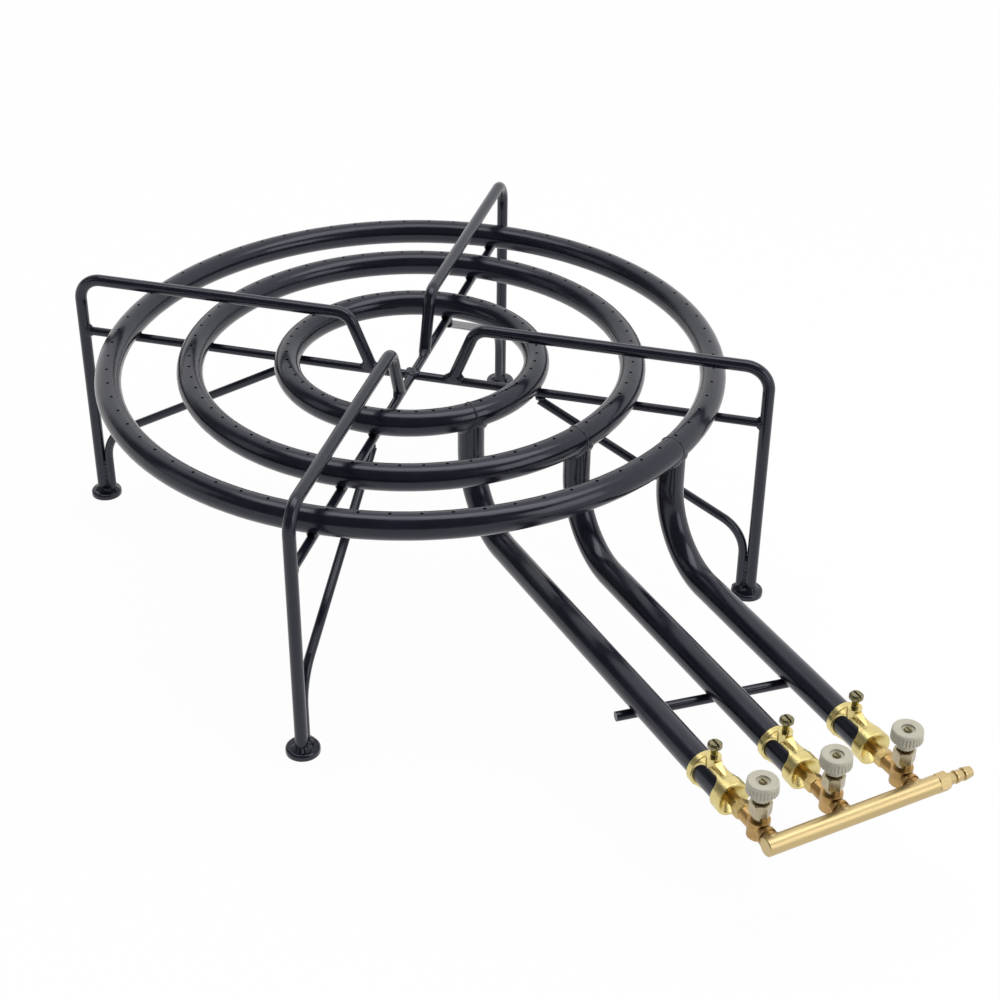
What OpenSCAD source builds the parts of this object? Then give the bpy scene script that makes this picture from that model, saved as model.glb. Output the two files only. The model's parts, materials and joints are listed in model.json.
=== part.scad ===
// Paella burner: three gas rings on a welded rod frame, each with its own
// feed pipe, air mixer and tap, fed from one brass manifold bar.
// Origin: on the floor under the centre of the rings. +Z is up. Millimetres.

/* [Rings] */
// Centre-line diameter of the inner ring
inner_ring_d = 166; // [150:1:180]
// Centre-line diameter of the middle ring
middle_ring_d = 294; // [270:1:310]
// Centre-line diameter of the outer ring
outer_ring_d = 400; // [380:1:460]
// Outside diameter of the ring and feed pipe tube
tube_od = 17.2; // [15:0.1:19]
// Wall thickness of the ring and feed pipe tube
tube_wall = 1.6; // [1:0.1:2.5]
// Height of the rings' centre line above the floor
ring_height = 146; // [130:1:180]
// Diameter of one gas port
port_d = 2; // [1:0.1:3]
// Gas ports in the inner ring
inner_ports = 48; // [24:1:60]
// Gas ports in the middle ring
middle_ports = 64; // [32:1:80]
// Gas ports in the outer ring
outer_ports = 68; // [40:1:90]
// Diameter of the hole in the ring's underside above its feed pipe
inlet_d = 11; // [6:0.5:12]

/* [Frame] */
// Diameter of the rod that the leg hoops are bent from
hoop_rod_d = 8; // [6:0.5:10]
// Diameter of the rod of cross bars, braces and tie bar
bar_rod_d = 6; // [5:0.5:8]
// Clear gap between the outer ring and the legs
leg_gap = 25.4; // [18:0.2:40]
// Clear gap between the top of the rings and the pan supports
pan_gap = 16; // [10:0.5:25]
// Bend radius at the hoop's outer top corner
hoop_bend_r = 16; // [12:1:22]
// Bend radius at the hoop's inner top corner
inner_bend_r = 12; // [9:0.5:16]
// Distance from the burner's axis to where a hoop's inner leg lands
inner_leg_r = 29; // [22:0.5:36]
// Lean of the hoop's inner leg from upright, degrees
inner_leg_lean = 22; // [10:1:30]
// Rise of the braces above level, degrees
brace_rise = 29; // [24:0.5:33]
// Bend radius of the braces
brace_bend_r = 30; // [20:1:36]
// Diameter of a foot disc
foot_d = 21.5; // [19:0.5:28]
// Thickness of a foot disc
foot_t = 4; // [3:0.5:8]
// Radius of a foot disc's top edge
foot_edge_r = 1.8; // [0.5:0.1:2.5]
// Distance of a foot disc's centre inboard of the leg
foot_inset = 2; // [0:0.5:3]
// Root gap left between welded pieces
weld_gap = 0.05; // [0.02:0.01:0.2]
// Depth to which a hoop's inner leg is notched over the cross bar
cope_depth = 1.2; // [0.5:0.1:2]
// Swelling of a rod or tube on its radius where it is bent
bend_swell = 0.02; // [0.01:0.01:0.1]

/* [Feed pipes] */
// Heading of the feed pipes in plan, degrees from +X
pipe_heading = -48; // [-60:0.5:-30]
// Sideways offset of the inner ring's pipe from the burner's axis
pipe_first = 2.5; // [0:0.5:6]
// Sideways distance from one feed pipe to the next
pipe_pitch = 46.5; // [44:0.5:50]
// Drop from the rings' centre line to the pipes' centre line
pipe_drop = 73; // [68:1:85]
// Bend radius of the feed pipes
pipe_bend_r = 48; // [36:1:52]
// Depth of the pipe's saddle end below the ring's centre line
saddle_trim = 2.6; // [1:0.1:4]
// Distance from the burner's axis to the pipe ends, along the heading
pipe_reach = 389.5; // [360:0.5:440]
// Distance of the tie bar back from the end of the inner pipe
tie_back = 90.5; // [60:0.5:110]
// Skew of the tie bar from square, degrees
tie_skew = 9.8; // [0:0.2:12]
// Length of tie bar past the inner pipe's axis
tie_overhang = 13.8; // [10:0.2:20]

/* [Air mixers] */
// Radial clearance between mixer and feed pipe
mixer_clear = 0.15; // [0.1:0.05:0.4]
// Wall of the mixer's sleeve
mixer_wall = 1.4; // [1.2:0.1:3]
// Extra radius of the front rim and rear ring over the sleeve
mixer_lip = 0.4; // [0.3:0.1:1.2]
// Length of the front rim
rim_len = 3.8; // [2.5:0.1:5]
// Chamfer on the mixer's outer edges
mixer_edge = 0.3; // [0.1:0.1:1]
// Length of the air windows
window_len = 20.2; // [17:0.1:24]
// Corner radius of the air windows
window_r = 6; // [2:0.5:8]
// Width of the straps between the windows
strap_w = 8; // [7:0.5:12]
// Length of feed pipe inside the mixer
pipe_insert = 23; // [20:0.5:23.5]
// Depth of the mixing chamber inside the rear ring
chamber_step = 0.6; // [0.4:0.1:2]
// Thickness of the wall that holds the jet
jet_wall = 1.5; // [1:0.1:3]
// Depth of the dished rear face
cup_depth = 5; // [4:0.5:8]
// Rim left round the dished rear face
cup_rim = 1.6; // [1:0.1:3]
// Diameter of the clamp screw
screw_d = 4; // [3:0.5:5]
// Core diameter of the clamp screw where its thread shows
screw_core_d = 3.3; // [2.2:0.1:4.4]
// Head diameter of the clamp screw
screw_head_d = 8.2; // [7:0.1:10]
// Head height of the clamp screw
screw_head_h = 3; // [2:0.1:4]
// Distance of the clamp screw behind the mixer's front
screw_at = 10; // [8.5:0.5:12]
// Height of the clamp screw's boss above the sleeve
boss_h = 4.5; // [2.5:0.1:6]
// Wall of the boss round the clamp screw
boss_wall = 2.2; // [1.5:0.1:3]
// Length of the rib behind the boss
rib_len = 12; // [8:0.5:16]
// Width of the rib where it leaves the boss
rib_w = 6.4; // [4:0.2:8]
// Width of the rib at its rear end
rib_end_w = 1.6; // [0.8:0.2:3]
// Depth of the rib's crest below the boss's top
rib_drop = 0.6; // [0.2:0.1:2]
// Length of thread that shows between boss and head
screw_show = 6.5; // [3:0.5:8]
// Gap between the clamp screw's tip and the feed pipe
touch_gap = 0.3; // [0.3:0.05:0.6]
// Width of the slot in the clamp screw's head
screw_slot_w = 1.2; // [0.8:0.1:1.8]
// Depth of the slot in the clamp screw's head
screw_slot_depth = 1.3; // [0.6:0.1:1.6]
// Bevel round the clamp screw's head
screw_bevel = 1.2; // [0.4:0.1:1.6]

/* [Taps] */
// Diameter of the jet's shank
jet_d = 7; // [6:0.1:8]
// Jet hex across flats
jet_hex = 10; // [9:0.5:12]
// Length of the jet's hex
jet_hex_len = 5.5; // [4:0.5:7]
// Length of the jet's shank that shows behind the mixer
jet_neck = 5.9; // [3:0.1:8]
// Bore of the jet's nozzle
jet_bore = 0.9; // [0.5:0.1:1.5]
// Length of the jet's tapered tip
jet_tip = 1.2; // [0.6:0.1:2]
// Distance from the jet's hex to the tap's stem axis
outlet_len = 12.5; // [11:0.5:16]
// Distance from the stem axis to the manifold's axis
inlet_len = 15; // [14:0.5:18]
// Radius of the tap's upright barrel
barrel_r = 6.2; // [5.8:0.1:8]
// Height of the barrel's top above the pipe axis
barrel_top = 6; // [5:0.5:8]
// Chamfer round the barrel's lower end
barrel_edge = 1.6; // [0.6:0.1:2.5]
// Depth of the barrel's lower end below the pipe axis
barrel_low = 6.5; // [5:0.5:10]
// Radius of the tap's outlet and inlet stubs
stub_r = 4.8; // [4:0.1:5.2]
// Height of the bead round the tap's inlet stub
bead_h = 0.8; // [0.4:0.1:1.5]
// Width of the bead round the tap's inlet stub
bead_w = 2; // [1:0.1:3]
// Gap between the bead and the manifold bar
bead_gap = 1; // [0.5:0.1:2]
// Bore of the tap's gas ways
gas_bore = 3.6; // [2.5:0.1:4]
// Diameter of the valve stem
stem_d = 5; // [4:0.5:6]
// Running clearance of turning parts, on the radius
run_clear = 0.06; // [0.03:0.01:0.1]
// Clearance of seated parts
seat_gap = 0.05; // [0.02:0.01:0.1]
// Height of the needle's seat above the barrel's lower end
seat_rise = 2; // [1:0.1:4]
// Lift of the needle off its seat
needle_lift = 1; // [0.5:0.1:2]
// Length of the needle's taper
needle_h = 3; // [2:0.1:5]
// Diameter of the needle's tip
needle_tip_d = 1.5; // [1:0.1:2.5]
// Height of the packing's seat above the pipe axis
packing_low = 2.2; // [1.9:0.1:3]
// Height of a packing ring
packing_h = 2; // [1:0.1:3]
// Angle of the chamfer on hex corners, degrees
hex_chamfer = 30; // [20:1:40]
// Inset of a hex's chamfer on its end faces, inside the flats
hex_face = 0.3; // [0.1:0.1:0.6]
// Gland nut across flats
gland_hex = 11; // [10.5:0.5:14]
// Height of the gland nut's hex
gland_hex_h = 8.2; // [4:0.1:10]
// Height of the gland nut's round collar under its hex
gland_neck_h = 4.3; // [2:0.1:6]
// Wall of the gland nut's collar
gland_wall = 1.7; // [1.2:0.1:2.5]

/* [Knobs] */
// Diameter of a knob at its foot
knob_d = 18; // [16:0.2:24]
// Diameter of a knob at its top
knob_top_d = 17.2; // [15:0.2:23]
// Height of a knob
knob_h = 7.2; // [6.5:0.1:12]
// Gap between the gland nut and a knob's hub
knob_gap = 1.5; // [1:0.1:4]
// Height of the hub under a knob
hub_h = 5.4; // [3:0.1:8]
// Diameter of the hub under a knob
hub_d = 9.4; // [8:0.2:12]
// Flutes round a knob
knob_flutes = 28; // [16:1:36]
// Width of one flute
flute_w = 1.1; // [0.6:0.1:1.6]
// Plain height above the flutes
flute_stop = 1.6; // [1.2:0.1:3]
// Bevel round a knob's top
knob_edge = 0.8; // [0.4:0.1:1.2]
// Diameter of the recess in a knob's top
recess_d = 7.6; // [7:0.2:11]
// Depth of the recess in a knob's top
recess_depth = 1.6; // [1:0.1:2.5]
// Thickness of the knob's top under the recess
knob_web = 2; // [1.5:0.1:3]
// Diameter of the knob's retaining screw
knob_screw_d = 2.5; // [2:0.1:3]
// Depth of the retaining screw in the stem
knob_screw_len = 5; // [3:0.5:8]
// Room below the retaining screw in the stem
knob_screw_room = 1; // [0.5:0.1:2]
// Head diameter of the retaining screw
knob_head_d = 4.8; // [4:0.1:6]
// Head height of the retaining screw
knob_head_h = 1.2; // [0.8:0.1:2]
// Bevel round the retaining screw's head
knob_head_bevel = 0.5; // [0.2:0.1:0.8]
// Width of the slot in the retaining screw's head
knob_slot_w = 0.7; // [0.4:0.1:1]
// Depth of the slot in the retaining screw's head
knob_slot_depth = 0.6; // [0.3:0.1:0.8]

/* [Manifold] */
// Outside diameter of the manifold bar
bar_od = 10.5; // [10:0.1:14]
// Bore of the manifold bar
manifold_bore = 7; // [5:0.1:7.5]
// Length of the bar past the first tap, to its closed end
bar_closed_end = 5.5; // [5:0.1:10]
// Length of the bar past the last tap, to the hose tail
bar_open_end = 12; // [8:0.5:20]
// Chamfer round the bar's closed end
bar_edge = 0.5; // [0.2:0.1:1]
// Thickness of the bar's closed end
bar_plug = 3; // [2:0.1:5]
// Hose tail hex across flats
tail_hex = 10; // [9.5:0.5:15]
// Length of the hose tail's hex
tail_hex_len = 7; // [5:0.5:10]
// Diameter over the hose tail's ridges
barb_d = 7.6; // [7:0.1:10]
// Depth of the grooves between the ridges
barb_groove = 0.8; // [0.5:0.1:1]
// Length of one ridge
barb_len = 5.5; // [4:0.5:7]
// Length of the flat crest on each ridge
barb_land = 0.8; // [0.5:0.1:1.2]
// Ridges on the hose tail
barb_count = 3; // [2:1:4]
// Bore of the hose tail
tail_bore = 4; // [3:0.1:4.5]
// Length of the hose tail's thread inside the bar
tail_thread = 8; // [5:0.5:10]

/* [Hidden] */
$fn = 64;
// How far one solid runs into the next, and a cut past a face
eps = 0.01;
lap = 0.2;
over = 1;
// Turn of each port's seam off the ring's radius
port_seam = 45;

// The three burners, from the inside out
ring_d = [inner_ring_d, middle_ring_d, outer_ring_d];
ring_ports = [inner_ports, middle_ports, outer_ports];
lane = [for (i = [0 : 2]) pipe_first + i * pipe_pitch];

// Frame
tube_r = tube_od / 2;
bore_r = tube_r - tube_wall;
hoop_r = hoop_rod_d / 2;
bar_r = bar_rod_d / 2;
leg_r = outer_ring_d / 2 + tube_r + leg_gap + hoop_r;
hoop_z = ring_height + tube_r + pan_gap + hoop_r;
cross_z = ring_height - tube_r - weld_gap - bar_r;
cross_top = cross_z + bar_r;
cross_low = cross_z - bar_r - weld_gap;
inner_leg_turn = 90 - inner_leg_lean;
inner_leg_top = inner_leg_r + (hoop_z - cross_top) * tan(inner_leg_lean);
brace_r = leg_r - hoop_r - bar_r - weld_gap;
brace_turn = 90 - brace_rise;
brace_end_r = inner_ring_d / 2 + bar_r * cos(brace_rise) / tan(brace_rise);
brace_end_z = cross_low - bar_r * cos(brace_rise);
brace_knee_r = brace_r - brace_bend_r * (1 - cos(brace_turn));
brace_knee_z = brace_end_z - (brace_knee_r - brace_end_r) * tan(brace_rise);
brace_bend_z = brace_knee_z - brace_bend_r * sin(brace_turn);

// Feed pipes
pipe_z = ring_height - pipe_drop;
pipe_start = [for (i = [0 : 2]) sqrt(pow(ring_d[i] / 2, 2) - pow(lane[i], 2))];
tie_z = pipe_z - tube_r - weld_gap - bar_r;
tie_len = (lane[2] - lane[0] + tie_overhang) / cos(tie_skew);

// Gas train, distances along the pipes from the burner's axis
mixer_x = pipe_reach - pipe_insert;
sleeve_r = tube_r + mixer_clear;
sleeve_out = sleeve_r + mixer_wall;
lip_r = sleeve_out + mixer_lip;
ring_x = rim_len + window_len;
wall_x = ring_x + chamber_step;
cup_x = wall_x + jet_wall;
mixer_len = cup_x + cup_depth;
screw_x = mixer_x + screw_at;
screw_r = screw_d / 2;
boss_r = screw_r + boss_wall;
boss_top = sleeve_out + boss_h;
jet_r = jet_d / 2;
jet_x = mixer_x + wall_x;
hex_x = mixer_x + mixer_len + jet_neck;
tap_x = hex_x + jet_hex_len;
stem_x = tap_x + outlet_len;
bar_x = stem_x + inlet_len;
stem_r = stem_d / 2;
packing_r = stem_r + gland_wall;
seat_low = seat_rise - barrel_low;
needle_low = seat_low + needle_lift;
gland_top = barrel_top + gland_hex_h + gland_neck_h;
hub_low = gland_top + knob_gap;
knob_low = hub_low + hub_h;
knob_top = knob_low + knob_h;
web_low = knob_top - recess_depth - knob_web;
knob_screw_r = knob_screw_d / 2;
knob_head_r = knob_head_d / 2;
bar_from = lane[0] - bar_closed_end;
bar_to = lane[2] + bar_open_end;
barb_r = barb_d / 2;
barb_root = barb_r - barb_groove;

black = [0.09, 0.09, 0.11];
brass = [0.85, 0.68, 0.26];
bronze = [0.76, 0.52, 0.27];
nickel = [0.74, 0.72, 0.66];
zinc = [0.55, 0.54, 0.48];
knob_grey = [0.70, 0.69, 0.63];
rubber = [0.12, 0.12, 0.12];

// A round rod from p to q, both [radius, height] in the XZ plane,
// carried on past either end where it runs into a bend
module rod(p, q, d, before = 0, after = 0) {
  run = q - p;
  translate([p[0], 0, p[1]])
    rotate([0, 90 - atan2(run[1], run[0]), 0])
      translate([0, 0, -before])
        cylinder(d = d, h = norm(run) + before + after);
}

// A bend in the XZ plane about centre c, from angle a over the turn
module rod_bend(c, r, d, a, turn) {
  translate([c[0], 0, c[1]])
    rotate([90, 0, 0])
      rotate([0, 0, a])
        rotate_extrude(angle = turn)
          translate([r, 0])
            circle(d = d + 2 * bend_swell);
}

// Everything along the feed pipes: X runs down the pipes, Y across them
module pipe_frame(i) {
  rotate([0, 0, pipe_heading])
    translate([0, lane[i], pipe_z])
      children();
}

// Cylinder lying along X
module along_x(r, x0, x1, r_end = undef) {
  translate([x0, 0, 0])
    rotate([0, 90, 0])
      cylinder(r1 = r, r2 = r_end == undef ? r : r_end, h = x1 - x0);
}

// Hex bar along Z with its corners chamfered at both ends
module hex_bar(flats, h) {
  corner_r = flats / 2 / cos(30);
  chamfer = (corner_r - flats / 2 + hex_face) * tan(hex_chamfer);
  intersection() {
    cylinder(r = corner_r, h = h, $fn = 6);
    rotate_extrude()
      polygon([
        [0, 0], [flats / 2 - hex_face, 0], [corner_r, chamfer],
        [corner_r, h - chamfer], [flats / 2 - hex_face, h], [0, h]
      ]);
  }
}

// Round tube bent into a ring
module torus(big_r, small_r) {
  translate([0, 0, ring_height])
    rotate_extrude()
      translate([big_r, 0])
        circle(r = small_r);
}

// One burner ring: hollow tube, gas ports along its top, inlet underneath
module burner_ring(i) {
  big_r = ring_d[i] / 2;
  inlet_turn = pipe_heading + atan2(lane[i], pipe_start[i]);
  port_step = 360 / ring_ports[i];
  color(black)
    difference() {
      torus(big_r, tube_r);
      torus(big_r, bore_r);
      for (k = [0 : ring_ports[i] - 1])
        rotate([0, 0, (k + 0.5) * port_step])
          translate([big_r, 0, ring_height])
            rotate([0, 0, port_seam])
              cylinder(d = port_d, h = tube_od);
      rotate([0, 0, inlet_turn])
        translate([big_r, 0, ring_height - tube_od])
          cylinder(d = inlet_d, h = tube_od);
    }
}

// Path of one feed pipe: drop from the ring, bend, level run
module pipe_path(i, d, past) {
  x0 = pipe_start[i];
  rod([x0, pipe_bend_r], [x0, pipe_drop - saddle_trim], d, lap, past);
  rod_bend([x0 + pipe_bend_r, pipe_bend_r], pipe_bend_r, d, 180, 90);
  rod([x0 + pipe_bend_r, 0], [pipe_reach, 0], d, lap, past);
}

module feed_pipe(i) {
  color(black)
    difference() {
      pipe_frame(i)
        difference() {
          pipe_path(i, tube_od, 0);
          pipe_path(i, 2 * bore_r, over);
        }
      torus(ring_d[i] / 2, tube_r + weld_gap);
    }
}

// One leg hoop: leg, outer bend, pan support, inner bend and inner leg
module leg_hoop(turn) {
  inner_tan = inner_bend_r * tan(inner_leg_turn / 2);
  inner_c = [inner_leg_top + inner_tan, hoop_z - inner_bend_r];
  leg_dir = [-sin(inner_leg_lean), -cos(inner_leg_lean)];
  inner_from = inner_c + inner_bend_r * [-cos(inner_leg_lean), sin(inner_leg_lean)];
  inner_to = [inner_leg_r, cross_top] + leg_dir * cope_depth;
  color(black)
    rotate([0, 0, turn])
      difference() {
        union() {
          rod([leg_r, foot_t], [leg_r, hoop_z - hoop_bend_r], hoop_rod_d, 0, lap);
          rod_bend([leg_r - hoop_bend_r, hoop_z - hoop_bend_r], hoop_bend_r, hoop_rod_d, 0, 90);
          rod([leg_r - hoop_bend_r, hoop_z], [inner_c[0], hoop_z], hoop_rod_d, lap, lap);
          rod_bend(inner_c, inner_bend_r, hoop_rod_d, 90, inner_leg_turn);
          rod(inner_from, inner_to, hoop_rod_d, lap, 0);
        }
        rod([0, cross_z], [leg_r - hoop_rod_d, cross_z], bar_rod_d + 2 * weld_gap);
      }
}

// One brace: up beside the leg, then slanting in to the cross bar, cut off square
module leg_brace(turn) {
  color(black)
    rotate([0, 0, turn])
      union() {
        rod([brace_r, foot_t], [brace_r, brace_bend_z], bar_rod_d, 0, lap);
        rod_bend([brace_r - brace_bend_r, brace_bend_z], brace_bend_r, bar_rod_d, 0, brace_turn);
        rod([brace_knee_r, brace_knee_z], [brace_end_r, brace_end_z], bar_rod_d, lap, 0);
      }
}

// One foot: a disc with a rounded top edge
module foot(turn) {
  rim_r = foot_d / 2 - foot_edge_r;
  color(black)
    rotate([0, 0, turn])
      translate([leg_r - foot_inset, 0, 0])
        union() {
          cylinder(d = foot_d, h = foot_t - foot_edge_r);
          cylinder(r = rim_r, h = foot_t);
          translate([0, 0, foot_t - foot_edge_r])
            rotate_extrude()
              translate([rim_r, 0])
                circle(r = foot_edge_r);
        }
}

// Cross bar, straight through from the front leg to the rear leg
module cross_bar_front_rear() {
  reach = leg_r - hoop_r / 2;
  color(black)
    difference() {
      rotate([0, 0, 90])
        rod([-reach, cross_z], [reach, cross_z], bar_rod_d);
      for (side = [-1, 1])
        translate([0, side * leg_r, 0])
          cylinder(d = hoop_rod_d + 2 * weld_gap, h = hoop_z);
    }
}

// Half cross bar, butted between the through bar and a leg
module cross_bar_half(turn) {
  color(black)
    rotate([0, 0, turn])
      difference() {
        rod([bar_r / 2, cross_z], [leg_r - hoop_r / 2, cross_z], bar_rod_d);
        rotate([0, 0, 90])
          rod([-bar_rod_d, cross_z], [bar_rod_d, cross_z], bar_rod_d + 2 * weld_gap);
        translate([leg_r, 0, 0])
          cylinder(d = hoop_rod_d + 2 * weld_gap, h = hoop_z);
      }
}

// Tie bar welded under the three feed pipes
module pipe_tie_bar() {
  color(black)
    rotate([0, 0, pipe_heading])
      translate([pipe_reach - tie_back, lane[0], tie_z])
        rotate([0, 0, 90 - tie_skew])
          translate([-tie_overhang / cos(tie_skew), 0, 0])
            along_x(bar_r, 0, tie_len + bar_r);
}

// Half section of an air mixer, revolved about the pipe's axis
module mixer_casting() {
  rotate([0, 90, 0])
    rotate_extrude()
      polygon([
        [sleeve_r, 0], [lip_r - mixer_edge, 0], [lip_r, mixer_edge], [lip_r, rim_len],
        [sleeve_out, rim_len], [sleeve_out, ring_x], [lip_r, ring_x],
        [lip_r, mixer_len - mixer_edge], [lip_r - mixer_edge, mixer_len],
        [lip_r - cup_rim, mixer_len], [jet_r + seat_gap, cup_x],
        [jet_r + seat_gap, wall_x], [sleeve_r, wall_x]
      ]);
}

// One air window, with round corners where it meets the straps
module air_window() {
  translate([rim_len, strap_w / 2 + window_r, -lip_r])
    cube([window_len, lip_r, 2 * lip_r]);
  translate([rim_len + window_r, strap_w / 2, -lip_r])
    cube([window_len - 2 * window_r, lip_r, 2 * lip_r]);
  for (x = [rim_len + window_r, ring_x - window_r])
    translate([x, strap_w / 2 + window_r, -lip_r])
      cylinder(r = window_r, h = 2 * lip_r);
}

// Boss for the clamp screw, with a tapering rib behind it
module clamp_boss() {
  translate([screw_at, 0, 0])
    cylinder(r = boss_r, h = boss_top);
  intersection() {
    translate([screw_at, boss_r, 0])
      rotate([90, 0, 0])
        linear_extrude(2 * boss_r)
          polygon([[0, 0], [0, boss_top - rib_drop], [rib_len, sleeve_out], [rib_len, 0]]);
    translate([screw_at, 0, 0])
      linear_extrude(boss_top)
        polygon([[0, -rib_w / 2], [rib_len, -rib_end_w / 2], [rib_len, rib_end_w / 2], [0, rib_w / 2]]);
  }
}

// One air mixer: sleeve with side windows, clamp boss and dished rear ring
module air_mixer(i) {
  color(brass)
    pipe_frame(i)
      translate([mixer_x, 0, 0])
        difference() {
          union() {
            difference() {
              mixer_casting();
              air_window();
              mirror([0, 1, 0])
                air_window();
            }
            difference() {
              clamp_boss();
              along_x(sleeve_r, -over, wall_x);
            }
          }
          translate([screw_at, 0, 0])
            cylinder(r = screw_r + run_clear, h = 2 * boss_top);
        }
}

// One clamp screw: shank in the boss, thread core above it, pan head with a slot
module clamp_screw(i) {
  tip = tube_r + touch_gap;
  head_low = boss_top + screw_show;
  head_r = screw_head_d / 2;
  bevel_low = head_low + screw_head_h - screw_bevel;
  color(zinc)
    pipe_frame(i)
      translate([screw_x, 0, 0])
        difference() {
          union() {
            translate([0, 0, tip])
              cylinder(r = screw_r, h = boss_top - tip);
            translate([0, 0, boss_top])
              cylinder(d = screw_core_d, h = screw_show + eps);
            translate([0, 0, head_low])
              cylinder(r = head_r, h = screw_head_h - screw_bevel);
            translate([0, 0, bevel_low])
              cylinder(r1 = head_r, r2 = head_r - screw_bevel, h = screw_bevel);
          }
          translate([-head_r, -screw_slot_w / 2, head_low + screw_head_h - screw_slot_depth])
            cube([2 * head_r, screw_slot_w, screw_head_h]);
        }
}

// One gas jet: nozzle through the mixer's wall, hex against the tap
module gas_jet(i) {
  color(bronze)
    pipe_frame(i)
      difference() {
        union() {
          along_x(jet_r - jet_tip, jet_x - jet_tip, jet_x, jet_r);
          along_x(jet_r, jet_x, hex_x + eps);
          translate([hex_x, 0, 0])
            rotate([0, 90, 0])
              hex_bar(jet_hex, jet_hex_len);
        }
        along_x(jet_bore / 2, jet_x - 2 * jet_tip, tap_x + over);
        along_x(gas_bore / 2, jet_x + jet_tip, tap_x + over);
      }
}

// One tap body: forged barrel with outlet, beaded inlet stub and chamfered bottom
module tap_body(i) {
  bead_x = bar_x - bar_od / 2 - bead_gap;
  color(bronze)
    pipe_frame(i)
      difference() {
        union() {
          along_x(stub_r, tap_x, bar_x);
          along_x(stub_r + bead_h, bead_x - bead_w, bead_x);
          translate([stem_x, 0, barrel_edge - barrel_low])
            cylinder(r = barrel_r, h = barrel_low - barrel_edge + barrel_top);
          translate([stem_x, 0, -barrel_low])
            cylinder(r1 = barrel_r - barrel_edge, r2 = barrel_r, h = barrel_edge);
        }
        translate([stem_x, 0, seat_low])
          cylinder(r = stem_r + run_clear, h = 2 * barrel_low);
        translate([stem_x, 0, packing_low])
          cylinder(r = packing_r + seat_gap, h = barrel_top);
        along_x(gas_bore / 2, tap_x - over, bar_x);
        translate([bar_x, 0, 0])
          rotate([90, 0, 0])
            cylinder(d = bar_od + 2 * weld_gap, h = 4 * barrel_r, center = true);
      }
}

// One gland nut: hex, round collar and a spigot that holds the packing down
module gland_nut(i) {
  spigot_low = packing_low + packing_h + seat_gap;
  color(nickel)
    pipe_frame(i)
      translate([stem_x, 0, 0])
        difference() {
          union() {
            translate([0, 0, spigot_low])
              cylinder(r = packing_r, h = gland_top - spigot_low);
            translate([0, 0, gland_top - gland_hex_h])
              hex_bar(gland_hex, gland_hex_h);
          }
          cylinder(r = stem_r + run_clear, h = 2 * gland_top);
        }
}

// The packing rings round the stems
module stem_packings() {
  for (i = [0 : 2])
    color(rubber)
      pipe_frame(i)
        translate([stem_x, 0, packing_low + seat_gap / 2])
          difference() {
            cylinder(r = packing_r, h = packing_h);
            translate([0, 0, -over])
              cylinder(r = stem_r + run_clear, h = packing_h + 2 * over);
          }
}

// One valve stem: needle below, knob seat above
module tap_stem(i) {
  color(brass)
    pipe_frame(i)
      translate([stem_x, 0, 0])
        difference() {
          union() {
            translate([0, 0, needle_low])
              cylinder(d1 = needle_tip_d, d2 = stem_d, h = needle_h);
            translate([0, 0, needle_low + needle_h])
              cylinder(r = stem_r, h = web_low - needle_low - needle_h - seat_gap);
          }
          translate([0, 0, web_low - knob_screw_len - knob_screw_room])
            cylinder(r = knob_screw_r + seat_gap, h = knob_h);
        }
}

// One knob: tapered and fluted, with a hub below and a recess in its top
module control_knob(i) {
  foot_r = knob_d / 2;
  top_r = knob_top_d / 2;
  slope = atan2(foot_r - top_r, knob_h);
  color(knob_grey)
    pipe_frame(i)
      translate([stem_x, 0, 0])
        difference() {
          union() {
            translate([0, 0, hub_low])
              cylinder(d = hub_d, h = hub_h + eps);
            translate([0, 0, knob_low])
              cylinder(r1 = foot_r, r2 = top_r, h = knob_h - knob_edge);
            translate([0, 0, knob_top - knob_edge])
              cylinder(r1 = top_r, r2 = top_r - knob_edge, h = knob_edge);
          }
          for (k = [0 : knob_flutes - 1])
            rotate([0, 0, k * 360 / knob_flutes])
              translate([foot_r, 0, knob_low])
                rotate([0, -slope, 0])
                  translate([0, 0, -over])
                    cylinder(d = flute_w, h = knob_h - flute_stop + over);
          translate([0, 0, hub_low - over])
            cylinder(r = stem_r + seat_gap, h = web_low - hub_low + over);
          cylinder(r = knob_screw_r + seat_gap, h = 2 * knob_top);
          translate([0, 0, knob_top - recess_depth])
            cylinder(d = recess_d, h = knob_h);
        }
}

// One retaining screw in a knob's recess
module knob_screw(i) {
  seat_z = knob_top - recess_depth + seat_gap;
  color(zinc)
    pipe_frame(i)
      translate([stem_x, 0, 0])
        difference() {
          union() {
            translate([0, 0, web_low - knob_screw_len])
              cylinder(r = knob_screw_r, h = seat_z - web_low + knob_screw_len + eps);
            translate([0, 0, seat_z])
              cylinder(r1 = knob_head_r, r2 = knob_head_r - knob_head_bevel, h = knob_head_h);
          }
          translate([-knob_head_r, -knob_slot_w / 2, seat_z + knob_head_h - knob_slot_depth])
            cube([knob_head_d, knob_slot_w, knob_head_h]);
        }
}

// Manifold bar: closed at one end, drilled for the taps and the hose tail
module manifold_bar() {
  color(brass)
    rotate([0, 0, pipe_heading])
      translate([bar_x, 0, pipe_z])
        difference() {
          translate([0, bar_from, 0])
            rotate([-90, 0, 0]) {
              cylinder(d1 = bar_od - 2 * bar_edge, d2 = bar_od, h = bar_edge);
              translate([0, 0, bar_edge])
                cylinder(d = bar_od, h = bar_to - bar_from - bar_edge);
            }
          translate([0, bar_from + bar_plug, 0])
            rotate([-90, 0, 0])
              cylinder(d = manifold_bore, h = bar_to - bar_from);
          for (y = lane)
            translate([-bar_od, y, 0])
              rotate([0, 90, 0])
                cylinder(d = gas_bore, h = bar_od);
        }
}

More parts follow.
